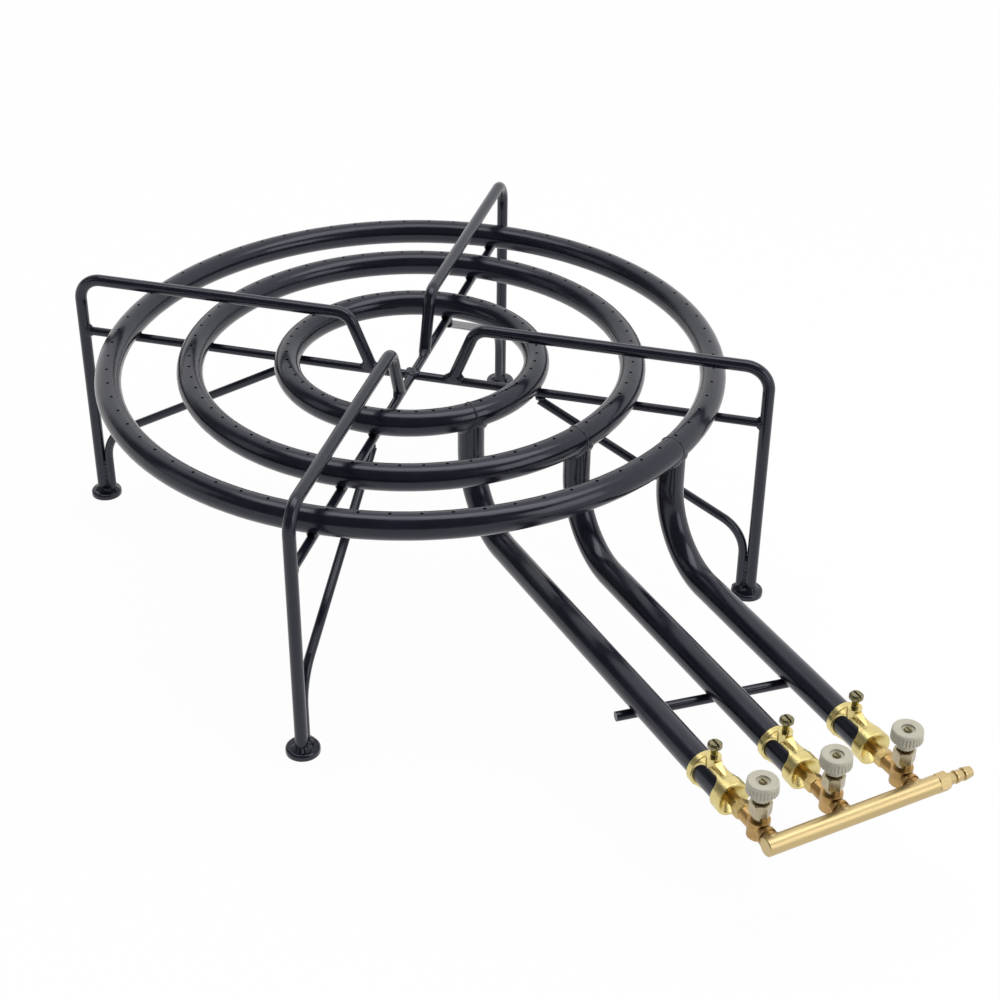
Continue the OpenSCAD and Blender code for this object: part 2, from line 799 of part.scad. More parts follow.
// Hose tail: thread in the bar, hex, then ridges that grip the hose
module hose_tail() {
  thread_r = manifold_bore / 2 - seat_gap;
  ramp = barb_len - barb_land;
  color(bronze)
    rotate([0, 0, pipe_heading])
      translate([bar_x, bar_to, pipe_z])
        rotate([-90, 0, 0])
          difference() {
            union() {
              translate([0, 0, -tail_thread])
                cylinder(r = thread_r, h = tail_thread + tail_hex_len);
              translate([0, 0, seat_gap])
                hex_bar(tail_hex, tail_hex_len);
              translate([0, 0, tail_hex_len])
                cylinder(r = barb_root, h = barb_count * barb_len);
              for (k = [0 : barb_count - 1])
                translate([0, 0, tail_hex_len + k * barb_len + seat_gap]) {
                  cylinder(r = barb_r, h = barb_land);
                  translate([0, 0, barb_land])
                    cylinder(r1 = barb_r, r2 = barb_root, h = ramp);
                }
            }
            translate([0, 0, -tail_thread - over])
              cylinder(d = tail_bore, h = 2 * (tail_thread + tail_hex_len + barb_count * barb_len));
          }
}

burner_ring(0);  // ring_inner
burner_ring(1);  // ring_middle
burner_ring(2);  // ring_outer
feed_pipe(0);  // feed_pipe_inner
feed_pipe(1);  // feed_pipe_middle
feed_pipe(2);  // feed_pipe_outer
leg_hoop(0);  // leg_hoop_right
leg_hoop(90);  // leg_hoop_rear
leg_hoop(180);  // leg_hoop_left
leg_hoop(270);  // leg_hoop_front
leg_brace(0);  // leg_brace_right
leg_brace(90);  // leg_brace_rear
leg_brace(180);  // leg_brace_left
leg_brace(270);  // leg_brace_front
foot(0);  // foot_right
foot(90);  // foot_rear
foot(180);  // foot_left
foot(270);  // foot_front
cross_bar_front_rear();
cross_bar_half(0);  // cross_bar_right
cross_bar_half(180);  // cross_bar_left
pipe_tie_bar();
air_mixer(0);  // air_mixer_inner
air_mixer(1);  // air_mixer_middle
air_mixer(2);  // air_mixer_outer
clamp_screw(0);  // clamp_screw_inner
clamp_screw(1);  // clamp_screw_middle
clamp_screw(2);  // clamp_screw_outer
gas_jet(0);  // gas_jet_inner
gas_jet(1);  // gas_jet_middle
gas_jet(2);  // gas_jet_outer
tap_body(0);  // tap_body_inner
tap_body(1);  // tap_body_middle
tap_body(2);  // tap_body_outer
gland_nut(0);  // gland_nut_inner
gland_nut(1);  // gland_nut_middle
gland_nut(2);  // gland_nut_outer
stem_packings();
tap_stem(0);  // tap_stem_inner
tap_stem(1);  // tap_stem_middle
tap_stem(2);  // tap_stem_outer
control_knob(0);  // control_knob_inner
control_knob(1);  // control_knob_middle
control_knob(2);  // control_knob_outer
knob_screw(0);  // knob_screw_inner
knob_screw(1);  // knob_screw_middle
knob_screw(2);  // knob_screw_outer
manifold_bar();
hose_tail();
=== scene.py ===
"""Looks of a three-ring paella burner: finishes for every solid, weld beads on the frame,
threads on the clamp screws, moulded knobs, solder at the taps, and a plain studio."""

import json
import math
from typing import NamedTuple

import bpy
import numpy as np
from mathutils import Matrix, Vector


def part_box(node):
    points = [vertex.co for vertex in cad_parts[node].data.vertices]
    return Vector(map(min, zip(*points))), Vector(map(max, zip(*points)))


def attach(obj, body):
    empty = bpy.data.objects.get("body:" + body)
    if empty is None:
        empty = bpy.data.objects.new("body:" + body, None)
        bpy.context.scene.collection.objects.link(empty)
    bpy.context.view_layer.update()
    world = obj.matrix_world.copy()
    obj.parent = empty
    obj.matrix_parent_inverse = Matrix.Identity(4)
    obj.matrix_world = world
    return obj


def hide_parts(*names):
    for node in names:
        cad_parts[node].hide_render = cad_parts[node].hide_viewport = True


bl_info = {
    "name": "Paella Burner Looks",
    "version": (1, 0, 0),
    "blender": (4, 5, 0),
    "location": "View3D > Sidebar > Burner",
    "description": "Gives the burner its welds, threads, knobs, finishes and studio",
    "category": "Object",
}

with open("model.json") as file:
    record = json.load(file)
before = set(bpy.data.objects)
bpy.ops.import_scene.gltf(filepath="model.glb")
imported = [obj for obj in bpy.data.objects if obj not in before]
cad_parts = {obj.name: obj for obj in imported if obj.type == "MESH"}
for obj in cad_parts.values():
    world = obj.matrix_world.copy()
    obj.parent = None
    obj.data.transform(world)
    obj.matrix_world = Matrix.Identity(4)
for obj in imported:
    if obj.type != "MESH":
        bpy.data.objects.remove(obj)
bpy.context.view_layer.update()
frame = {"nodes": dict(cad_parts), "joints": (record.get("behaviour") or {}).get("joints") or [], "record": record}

RINGS = ("inner", "middle", "outer")
SIDES = {"right": 0, "rear": 90, "left": 180, "front": 270}  # turn of each leg about the axis, in degrees
JOINTS = {joint["name"]: joint for joint in frame["joints"]}

# Directions: along the feed pipes, across them on the manifold bar's line, and up.
ALONG = np.array(JOINTS["air_slide"]["axis"], float)
ACROSS = np.array([-ALONG[1], ALONG[0], 0.0])
UP = np.array([0.0, 0.0, 1.0])
BAR_ANGLE = math.atan2(ACROSS[1], ACROSS[0])


def corners(node):
    """Lowest and highest corner of a solid, as arrays."""
    low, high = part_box(node)
    return np.array(low), np.array(high)


def half_size(node, axis):
    """Half of a solid's extent along one axis."""
    low, high = corners(node)
    return float(high[axis] - low[axis]) / 2


def middle(node):
    """Middle of a solid's box."""
    low, high = corners(node)
    return (low + high) / 2


def joint_foot(name):
    """Point on the floor under a joint."""
    return np.array(JOINTS[name]["pos_m"], float) * [1, 1, 0]


# Sizes of the frame, from the solids' boxes and the joints.
TUBE_R = half_size("ring_outer", 2)
RING_Z = float(middle("ring_outer")[2])
RING_R = {name: half_size(f"ring_{name}", 0) - TUBE_R for name in RINGS}
LANE = {name: float(np.dot(JOINTS[f"tap_turn_{name}"]["pos_m"], ACROSS)) for name in RINGS}
HOOP_R = half_size("leg_hoop_right", 1)
BAR_R = half_size("cross_bar_front_rear", 0)
BAR_Z = float(middle("cross_bar_front_rear")[2])
LEG_X = float(corners("leg_hoop_right")[1][0]) - HOOP_R
BRACE_X = float(corners("leg_brace_right")[1][0]) - BAR_R
FOOT_TOP = float(corners("foot_right")[1][2])

# Sizes of the source that the boxes don't show.
SADDLE_TRIM = 0.0026  # depth of a pipe's cut end below the ring's centre line
INNER_LEG = 0.029  # distance from the axis to where a hoop's inner leg lands
INNER_LEAN = math.radians(22)  # lean of a hoop's inner leg from upright
BRACE_RISE = math.radians(29)  # rise of a brace above level
SCREW_HEAD = 0.003  # height of a clamp screw's head
STUB_R = 0.0048  # radius of a tap's inlet stub

# First seed of each group of welds, so that the groups swell differently.
SEEDS = {"pipe": 0, "seam": 10, "ring_tack": 21, "inner_leg": 50, "bar_end": 60, "foot": 70, "groove": 90,
         "tie": 101, "foot_dab": 110, "solder": 120, "brace_dab": 130}

# Radii of rounded edges, and how much lighter than its face an edge is painted: partly polished wear, partly a
# painted highlight.
FINE_EDGE, SOFT_EDGE, EDGE_WEAR_AND_HIGHLIGHT_LIFT = 0.00025, 0.0005, 1.25

# The softboxes: each one's place, the point that it faces, its sides in metres and its radiance.
SOFTBOXES = {
    "top_softbox": dict(place=(0.15, 0.05, 1.9), aim=(0.05, 0.0, 0.1), wide=2.4, high=0.9, radiance=2.7),
    "left_softbox": dict(place=(-1.9, -0.9, 1.0), aim=(0.0, 0.0, 0.12), wide=0.8, high=1.2, radiance=0.7),
    "right_softbox": dict(place=(1.8, -0.75, 0.85), aim=(0.3, -0.3, 0.08), wide=0.9, high=1.1, radiance=2.4),
}

# The way to the backdrop, the cosines from it over which its light comes up,
# and the heights over which the white strip at the floor's edge runs out.
BACKDROP_WAY, BACKDROP_FADE, STRIP_FADE = (0.25, 0.97, 0.0), (-0.1, 0.35), (0.06, 0.11)

# The photograph's view: the camera's forward and down directions, and its sensor in millimetres.
VIEW_FORWARD, VIEW_DOWN, SENSOR = (-0.2086, 0.8127, -0.5440), (0.1455, -0.5243, -0.8390), 36.0

COLOR = {"subtype": "COLOR", "size": 4, "min": 0, "max": 1}
SMOOTH = {"interpolation_type": "SMOOTHSTEP"}
VECTOR_SOCKET, COLOR_SOCKET, VALUE_SOCKET = "NodeSocketVector", "NodeSocketColor", "NodeSocketFloat"


class BurnerWelds(bpy.types.PropertyGroup):
    """Sizes of the welds."""

    pipe_fillet: bpy.props.FloatProperty(
        name="Pipe fillet", description="Reach of the weld between a feed pipe and its ring",
        default=0.0024, unit="LENGTH")
    leg_fillet: bpy.props.FloatProperty(
        name="Leg fillet", description="Reach of the weld between a hoop's inner leg and the cross bar",
        default=0.0034, unit="LENGTH")
    rod_fillet: bpy.props.FloatProperty(
        name="Rod fillet", description="Reach of the welds between other rods", default=0.0020, unit="LENGTH")
    foot_fillet: bpy.props.FloatProperty(
        name="Foot fillet", description="Reach of the welds on the foot discs", default=0.0026, unit="LENGTH")
    tack_length: bpy.props.FloatProperty(
        name="Tack length", description="Length of a short weld under a ring or pipe",
        default=0.0085, unit="LENGTH")
    leg_run: bpy.props.FloatProperty(
        name="Leg run", description="Length of the weld between a leg and its brace, up from the foot",
        default=0.025, unit="LENGTH")
    bulge: bpy.props.FloatProperty(
        name="Bulge", description="Rise of a weld's face", default=0.00035, unit="LENGTH")
    seam_bead: bpy.props.FloatProperty(
        name="Seam bead", description="Radius of the bead over a ring's butt joint",
        default=0.0010, unit="LENGTH")
    seam_rise: bpy.props.FloatProperty(
        name="Seam rise", description="Height of the butt seam above the tube", default=0.0004, unit="LENGTH")
    crater: bpy.props.FloatProperty(
        name="Crater", description="Radius of the crater weld where the bars cross",
        default=0.0052, unit="LENGTH")
    ripple: bpy.props.FloatProperty(
        name="Ripple", description="Distance from one ripple of a weld to the next",
        default=0.0016, unit="LENGTH")


class BurnerBrassware(bpy.types.PropertyGroup):
    """Sizes of the screw threads, knobs and solder fillets."""

    thread_pitch: bpy.props.FloatProperty(
        name="Thread pitch", description="Pitch of the clamp screws' thread", default=0.0007, unit="LENGTH")
    thread_root: bpy.props.FloatProperty(
        name="Thread root", description="Radius at the foot of the thread", default=0.0016, unit="LENGTH")
    thread_crest: bpy.props.FloatProperty(
        name="Thread crest", description="Radius at the crest of the thread", default=0.0020, unit="LENGTH")
    solder: bpy.props.FloatProperty(
        name="Solder", description="Reach of the solder between a tap and the bar",
        default=0.0011, unit="LENGTH")
    flutes: bpy.props.IntProperty(
        name="Flutes", description="Flutes round a knob", default=28, min=8, max=48)
    flute_depth: bpy.props.FloatProperty(
        name="Flute depth", description="Depth of a knob's flutes", default=0.00055, unit="LENGTH")


class BurnerFinishes(bpy.types.PropertyGroup):
    """Colours of the finishes."""

    paint: bpy.props.FloatVectorProperty(
        name="Paint", description="Black stove paint", default=(0.0058, 0.0061, 0.0125, 1), **COLOR)
    gloss: bpy.props.FloatVectorProperty(
        name="Paint gloss", description="Cool tint of the paint's shine", default=(0.87, 0.90, 1.0, 1), **COLOR)
    mixer: bpy.props.FloatVectorProperty(
        name="Mixers", description="Bright cast brass", default=(0.72, 0.60, 0.26, 1), **COLOR)
    # A painted shade colour: the darkening that the mixers' corners and mouths take where the mixers shade
    # themselves.
    mixer_painted_shade: bpy.props.FloatVectorProperty(
        name="Mixers' hollows", description="Painted shade in the mixers' corners and mouths",
        default=(0.40, 0.25, 0.06, 1), **COLOR)
    jet: bpy.props.FloatVectorProperty(
        name="Jets", description="Dull turned brass", default=(0.60, 0.44, 0.175, 1), **COLOR)
    tap: bpy.props.FloatVectorProperty(
        name="Taps", description="Forged brass with a copper tone", default=(0.49, 0.31, 0.12, 1), **COLOR)
    nickel: bpy.props.FloatVectorProperty(
        name="Gland nuts", description="Nickel plate", default=(0.45, 0.39, 0.265, 1), **COLOR)
    zinc: bpy.props.FloatVectorProperty(
        name="Screws", description="Zinc-plated steel", default=(0.28, 0.25, 0.14, 1), **COLOR)
    thread: bpy.props.FloatVectorProperty(
        name="Threads", description="Dull yellow plate on the clamp screws' threads",
        default=(0.42, 0.33, 0.07, 1), **COLOR)
    stem: bpy.props.FloatVectorProperty(
        name="Stems", description="Turned brass", default=(0.52, 0.34, 0.12, 1), **COLOR)
    bar: bpy.props.FloatVectorProperty(
        name="Manifold bar", description="Satin drawn brass", default=(0.575, 0.445, 0.225, 1), **COLOR)
    knob: bpy.props.FloatVectorProperty(
        name="Knobs", description="Warm grey moulded plastic", default=(0.505, 0.485, 0.39, 1), **COLOR)
    rubber: bpy.props.FloatVectorProperty(
        name="Packings", description="Black rubber", default=(0.02, 0.02, 0.02, 1), **COLOR)
    floor: bpy.props.FloatVectorProperty(
        name="Floor", description="White studio floor", default=(0.97, 0.97, 0.97, 1), **COLOR)


class BurnerStudio(bpy.types.PropertyGroup):
    """Camera, even light and floor of the studio."""

    camera: bpy.props.FloatVectorProperty(
        name="Camera", description="Place of the camera", subtype="TRANSLATION", size=3,
        unit="LENGTH", default=(0.3408, -1.0878, 0.7732))
    lens: bpy.props.FloatProperty(
        name="Lens", description="Focal length on a 36 mm sensor, in millimetres", default=69.94)
    floor_size: bpy.props.FloatProperty(
        name="Floor size", description="Side of the floor", default=40.0, unit="LENGTH")
    shadow: bpy.props.FloatProperty(
        name="Shadow", description="Share of the floor's own shade that shows", default=0.05,
        min=0, max=1, subtype="FACTOR")
    fill: bpy.props.FloatProperty(
        name="Fill", description="Strength of the even light before the burner", default=0.16)
    backdrop: bpy.props.FloatProperty(
        name="Backdrop", description="Strength of the even light behind the burner", default=1.12)


class Finish(NamedTuple):
    """One row of the table of finishes. A colour is a name in BurnerFinishes and a factor on it."""

    color: tuple  # the clean surface
    worn: tuple  # the worn patches
    wear: float  # how far the patches go over to the worn colour
    patch: float  # scale of the patches
    grain: float  # scale of the grain
    rough: tuple  # lowest and highest roughness
    bump: float  # strength of the relief
    depth: float = 0.0002  # depth of the relief, in metres
    metallic: float = 1.0
    edge: float = 0.0  # radius of the rounded edges, in metres
    hollow: tuple = ()  # painted shade darkening the hollows, where there is any
    tinted: bool = False  # whether the shine takes the paint's tint
    stretch: tuple = (1, 1, 1)  # draws the pattern out, as drawing marks lie along a bar
    turn: float = 0.0  # turns the pattern about the upright


FINISHES = {
    "black_paint": Finish(
        ("paint", 1), ("paint", 1.7), wear=0.6, patch=45, grain=1500, rough=(0.16, 0.25), bump=0.06,
        metallic=0, tinted=True),
    "weld_paint": Finish(
        ("paint", 1), ("paint", 1.5), wear=0.6, patch=160, grain=1100, rough=(0.16, 0.28), bump=0.3,
        depth=0.0003, metallic=0, tinted=True),
    "mixer_brass": Finish(
        ("mixer", 1), ("mixer", 0.78), wear=0.5, patch=120, grain=2600, rough=(0.18, 0.32), bump=0.2,
        depth=0.00025, edge=SOFT_EDGE, hollow=("mixer_painted_shade", 1)),
    "jet_brass": Finish(
        ("jet", 1), ("jet", 0.55), wear=0.7, patch=240, grain=3000, rough=(0.24, 0.40), bump=0.12,
        edge=FINE_EDGE),
    "tap_bronze": Finish(
        ("tap", 1), ("tap", 0.66), wear=0.6, patch=170, grain=2600, rough=(0.30, 0.46), bump=0.18,
        depth=0.00025, edge=SOFT_EDGE, hollow=("tap", 0.5)),
    "gland_nickel": Finish(
        ("nickel", 1), ("nickel", 0.7), wear=0.4, patch=200, grain=3000, rough=(0.20, 0.34), bump=0.08,
        edge=FINE_EDGE),
    "screw_steel": Finish(
        ("zinc", 1), ("zinc", 0.5), wear=0.6, patch=300, grain=3000, rough=(0.24, 0.40), bump=0.1,
        edge=FINE_EDGE, hollow=("zinc", 0.35)),
    "thread_brass": Finish(
        ("thread", 1), ("thread", 0.5), wear=0.6, patch=300, grain=3000, rough=(0.20, 0.36), bump=0.1),
    "stem_brass": Finish(
        ("stem", 1), ("stem", 0.7), wear=0.4, patch=300, grain=3000, rough=(0.20, 0.35), bump=0.1),
    "manifold_brass": Finish(
        ("bar", 1), ("bar", 0.82), wear=0.5, patch=90, grain=2200, rough=(0.34, 0.48), bump=0.12,
        edge=FINE_EDGE, stretch=(14, 1, 1), turn=BAR_ANGLE),
    "solder": Finish(
        ("bar", 0.95), ("tap", 0.8), wear=0.7, patch=260, grain=2400, rough=(0.20, 0.36), bump=0.25),
    "knob_plastic": Finish(
        ("knob", 1), ("knob", 0.86), wear=0.5, patch=130, grain=2600, rough=(0.40, 0.54), bump=0.12,
        metallic=0),
    "packing_rubber": Finish(
        ("rubber", 1), ("rubber", 1.6), wear=0.6, patch=300, grain=2600, rough=(0.60, 0.75), bump=0.2,
        metallic=0),
}


def unit(vectors):
    """Vectors scaled to length one."""
    return vectors / np.linalg.norm(vectors, axis=-1, keepdims=True)


def turn_about_axis(points, degrees):
    """Points turned about the burner's upright axis."""
    c, s = math.cos(math.radians(degrees)), math.sin(math.radians(degrees))
    return points @ np.array([[c, s, 0], [-s, c, 0], [0, 0, 1.0]])


def loop_angles(count):
    """Angles of a closed loop, in radians, as one array."""
    return np.linspace(0, 2 * np.pi, count, endpoint=False)


def skin(points, ring=False):
    """A closed skin over rows of points. Columns join round; the rows either join round as well,
    or each end closes on the middle of its row. Faces turn outwards, by the sign of the volume."""
    rows, cols = points.shape[:2]
    verts = points.reshape(-1, 3)
    i = np.arange(rows if ring else rows - 1)[:, None]
    j = np.arange(cols)[None, :]
    k, m = (j + 1) % cols, (i + 1) % rows
    quads = np.stack(np.broadcast_arrays(i * cols + j, i * cols + k, m * cols + k, m * cols + j), -1)
    quads = quads.reshape(-1, 4)
    fans = np.zeros((0, 3), int)
    if not ring:
        verts = np.vstack([verts, points[0].mean(0), points[-1].mean(0)])
        near, far = np.full(cols, rows * cols), np.full(cols, rows * cols + 1)
        j, k, end = j[0], k[0], (rows - 1) * cols
        fans = np.vstack([np.stack([near, k, j], -1), np.stack([far, end + j, end + k], -1)])
    corner = verts[np.vstack([quads[:, [0, 1, 2]], quads[:, [0, 2, 3]], fans])]
    if np.einsum("ij,ij->", corner[:, 0], np.cross(corner[:, 1], corner[:, 2])) < 0:
        quads, fans = quads[:, ::-1], fans[:, ::-1]
    return verts, quads, fans


def make_piece(name, skins, material, body):
    """One smooth-shaded object from closed skins, with its place in its mesh, riding on a body."""
    starts = np.cumsum([0] + [len(part[0]) for part in skins])
    faces = [face for part, start in zip(skins, starts)
             for block in part[1:] for face in (block + start).tolist()]
    mesh = bpy.data.meshes.new(name)
    mesh.from_pydata(np.vstack([part[0] for part in skins]).tolist(), [], faces)
    mesh.polygons.foreach_set("use_smooth", np.ones(len(mesh.polygons), bool))
    mesh.materials.append(bpy.data.materials[f"{material}_finish"])
    mesh.update()
    piece = bpy.data.objects.new(name, mesh)
    bpy.context.scene.collection.objects.link(piece)
    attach(piece, body)
    return piece


def make_weld(name, skins):
    """A painted weld, which rides on the frame."""
    make_piece(name, skins, "weld_paint", "frame")


def along_path(path, ring):
    """Directions along a path, each point's share of its length as a column, and the length."""
    step = np.roll(path, -1, 0) - np.roll(path, 1, 0)
    gaps = np.linalg.norm(np.diff(path, axis=0, append=path[:1]), axis=1)
    if not ring:
        step[0], step[-1], gaps[-1] = path[1] - path[0], path[-1] - path[-2], 0
    return unit(step), ((np.cumsum(gaps) - gaps) / gaps.sum())[:, None], gaps.sum()


def lumps(share, seed):
    """Four long waves with seeded phases, a whole number of each along a closed path."""
    phase = np.random.default_rng(seed).uniform(0, 2 * np.pi, 4)
    return sum(np.sin(2 * np.pi * n * share + phase[k]) for k, n in enumerate((2, 3, 5, 8))) / 2


def bead(path, outward, radius, ripple, seed, columns=14):
    """A bead over a seam: a circle carried round a closed path. Its radius swells in crescents,
    one for each ripple, and in long lumps."""
    crest, lump, bend = 0.06, 0.08, 1.4
    tangent, share, length = along_path(path, True)
    side = unit(np.cross(tangent, outward))
    out = np.cross(side, tangent)
    around = loop_angles(columns)[None, :]
    crescents = np.cos(2 * np.pi * round(length / ripple) * share + bend * np.cos(around))
    reach = (radius * (1 + crest * crescents + lump * lumps(share, seed)))[..., None]
    points = path[:, None] + reach * (np.cos(around)[..., None] * out[:, None]
                                      + np.sin(around)[..., None] * side[:, None])
    return skin(points, True)


def onto_rod(base, axis, radius):
    """A rod's surface, as a function that carries points onto it and gives its normals there."""
    def carry(points):
        arm = points - base
        off = arm - (arm @ axis)[..., None] * axis
        return points - off + radius * unit(off), unit(off)
    return carry


def onto_ring(name):
    """The surface of a ring's tube, likewise."""
    def carry(points):
        centre = RING_R[name] * unit(points * [1, 1, 0]) + RING_Z * UP
        normal = unit(points - centre)
        return centre + TUBE_R * normal, normal
    return carry


def onto_level(height):
    """A level face, likewise."""
    def carry(points):
        return points * [1, 1, 0] + height * UP, np.broadcast_to(UP, points.shape)
    return carry


def fillet(path, first, second, reach, size, seed, ring=True, rough=1.0, columns=9):
    """A weld in the corner of two surfaces, along a path. Its toes lie on the surfaces, one reach away
    from the path; its face is the quadratic arc between them whose control point is path + knee times the
    sum of both toes' offsets, raised by a bulge. The reach swells in long lumps and the bulge in
    crescents, one for each ripple; an open weld thins out at its ends. A root inside closes the section."""
    lump, crest, bend = 0.11 * rough, 0.36 * rough, 1.5
    sink, knee, root, thinnest = 0.03, 0.27, 0.35, 0.03
    tangent, share, length = along_path(path, ring)
    normals = [surface(path)[1] for surface in (first, second)]
    middle_normal = unit(normals[0] + normals[1])
    waves = 1 + lump * lumps(share, seed)
    if not ring:
        waves = waves * np.sqrt(np.clip(1 - np.abs(2 * share - 1) ** 4, thinnest, 1))
    toes = []
    for surface, own, other in zip((first, second), normals, normals[::-1]):
        side = np.cross(tangent, own)
        side = unit(side * np.sign(np.einsum("ij,ij->", side, other)))
        point, normal = surface(path + reach * waves * side)
        toes.append(point - sink * reach * normal)
    t = np.linspace(0, 1, columns)[None, :, None]
    control = path + knee * (toes[0] + toes[1] - 2 * path)
    face = (1 - t) ** 2 * toes[0][:, None] + 2 * t * (1 - t) * control[:, None] + t ** 2 * toes[1][:, None]
    lag = bend * (2 * t[..., 0] - 1) ** 2
    crescents = np.cos(2 * np.pi * max(2, round(length / size.ripple)) * share + lag)
    rise = size.bulge * waves * (1 + crest * crescents) * 4 * t[..., 0] * (1 - t[..., 0])
    face = face + rise[..., None] * middle_normal[:, None]
    inside = path - root * reach * middle_normal
    return skin(np.concatenate([face, inside[:, None]], 1), ring)


def dab(centre, axes, seed):
    """A dab of weld: an ellipsoid on three half axes. Its radius swells by 0.10 sin(2a + p) sin v
    + 0.09 sin(3a + q) sin 2v + 0.07 sin(5v + r) over its angles a and v, with seeded phases."""
    pole_gap = 0.04
    v = np.linspace(pole_gap, np.pi - pole_gap, 22)[:, None]
    a = loop_angles(36)[None, :]
    phase = np.random.default_rng(seed).uniform(0, 2 * np.pi, 3)
    swell = (1 + 0.10 * np.sin(2 * a + phase[0]) * np.sin(v) + 0.09 * np.sin(3 * a + phase[1]) * np.sin(2 * v)
             + 0.07 * np.sin(5 * v + phase[2]))
    ball = np.stack([np.sin(v) * np.cos(a), np.sin(v) * np.sin(a), np.cos(v) + 0 * a], -1)
    return skin(centre + (swell[..., None] * ball) @ np.array(axes))


def new_group(name, inputs, outputs):
    """An empty shader node group with named sockets."""
    group = bpy.data.node_groups.new(name, "ShaderNodeTree")
    for label, kind, value in inputs:
        socket = group.interface.new_socket(label, in_out="INPUT", socket_type=kind)
        if value is not None:
            socket.default_value = value
    for label, kind in outputs:
        group.interface.new_socket(label, in_out="OUTPUT", socket_type=kind)
    return group, group.nodes.new("NodeGroupInput"), group.nodes.new("NodeGroupOutput")


def add_node(tree, kind, settings=(), values=()):
    """A shader node with its settings and socket values."""
    node = tree.nodes.new(kind)
    for key, value in dict(settings).items():
        setattr(node, key, value)
    for key, value in dict(values).items():
        node.inputs[key].default_value = value
    return node


def wire(tree, *joins):
    """Links in a node tree, each from a node's output to another node's input."""
    for source, output, target, entry in joins:
        tree.links.new(source.outputs[output], target.inputs[entry])


def surface_group():
    """Patches, grain and lighter edges of a surface. Patches come from a slow noise and mix two colours and
    two roughness levels; grain comes from a fast noise and goes to the height. An edge is where the normal
    rounded over the edge radius leaves the face's own normal; it takes the lighter edge colour, partly polished
    wear and partly a painted highlight."""
    group, given, result = new_group(
        "Worn Surface",
        [("Vector", VECTOR_SOCKET, None), ("Color", COLOR_SOCKET, (0.5, 0.5, 0.5, 1)),
         ("Worn Color", COLOR_SOCKET, (0.2, 0.2, 0.2, 1)), ("Edge Color", COLOR_SOCKET, (0.8, 0.8, 0.8, 1)),
         ("Wear", VALUE_SOCKET, 0.5), ("Patch Scale", VALUE_SOCKET, 60.0), ("Grain Scale", VALUE_SOCKET, 900.0),
         ("Rough Low", VALUE_SOCKET, 0.2), ("Rough High", VALUE_SOCKET, 0.4), ("Edge Radius", VALUE_SOCKET, 0.0)],
        [("Color", COLOR_SOCKET), ("Roughness", VALUE_SOCKET), ("Height", VALUE_SOCKET), ("Normal", VECTOR_SOCKET)])
    patches = add_node(group, "ShaderNodeTexNoise", values={"Detail": 5.0, "Roughness": 0.62})
    grain = add_node(group, "ShaderNodeTexNoise", values={"Detail": 3.0, "Roughness": 0.55})
    spread = add_node(group, "ShaderNodeMapRange", SMOOTH,
                      {"From Min": 0.38, "From Max": 0.68})
    share = add_node(group, "ShaderNodeMath", {"operation": "MULTIPLY"})
    mix = add_node(group, "ShaderNodeMix", {"data_type": "RGBA"})
    wire(group,
         (given, "Vector", patches, "Vector"), (given, "Patch Scale", patches, "Scale"),
         (given, "Vector", grain, "Vector"), (given, "Grain Scale", grain, "Scale"),
         (patches, "Fac", spread, "Value"), (spread, "Result", share, 0), (given, "Wear", share, 1),
         (share, 0, mix, "Factor"), (given, "Color", mix, "A"), (given, "Worn Color", mix, "B"))
    rounded_normal = add_node(group, "ShaderNodeBevel", {"samples": 6})
    face = add_node(group, "ShaderNodeNewGeometry")
    lean = add_node(group, "ShaderNodeVectorMath", {"operation": "DOT_PRODUCT"})
    # Painted highlight with polished wear: the rounded edges take a lighter colour.
    edge = add_node(group, "ShaderNodeMapRange", values={"From Min": 0.99, "From Max": 0.80, "To Max": 0.8})
    edge_wear_and_highlight = add_node(group, "ShaderNodeMix", {"data_type": "RGBA"})
    wire(group,
         (given, "Edge Radius", rounded_normal, "Radius"), (rounded_normal, "Normal", lean, 0),
         (face, "Normal", lean, 1), (lean, "Value", edge, "Value"), (edge, "Result", edge_wear_and_highlight, "Factor"),
         (mix, "Result", edge_wear_and_highlight, "A"), (given, "Edge Color", edge_wear_and_highlight, "B"), (edge_wear_and_highlight, "Result", result, "Color"),
         (rounded_normal, "Normal", result, "Normal"))
    grain_in_roughness, patches_in_height = 0.35, 0.5
    blend = add_node(group, "ShaderNodeMath", {"operation": "MULTIPLY_ADD"}, {1: grain_in_roughness})
    rough = add_node(group, "ShaderNodeMapRange", values={"From Min": 0.1, "From Max": 0.9})
    height = add_node(group, "ShaderNodeMath", {"operation": "MULTIPLY_ADD"}, {1: patches_in_height})
    wire(group,
         (grain, "Fac", blend, 0), (share, 0, blend, 2), (blend, 0, rough, "Value"),
         (given, "Rough Low", rough, "To Min"), (given, "Rough High", rough, "To Max"),
         (rough, "Result", result, "Roughness"),
         (patches, "Fac", height, 0), (grain, "Fac", height, 2), (height, 0, result, "Height"))
    return group


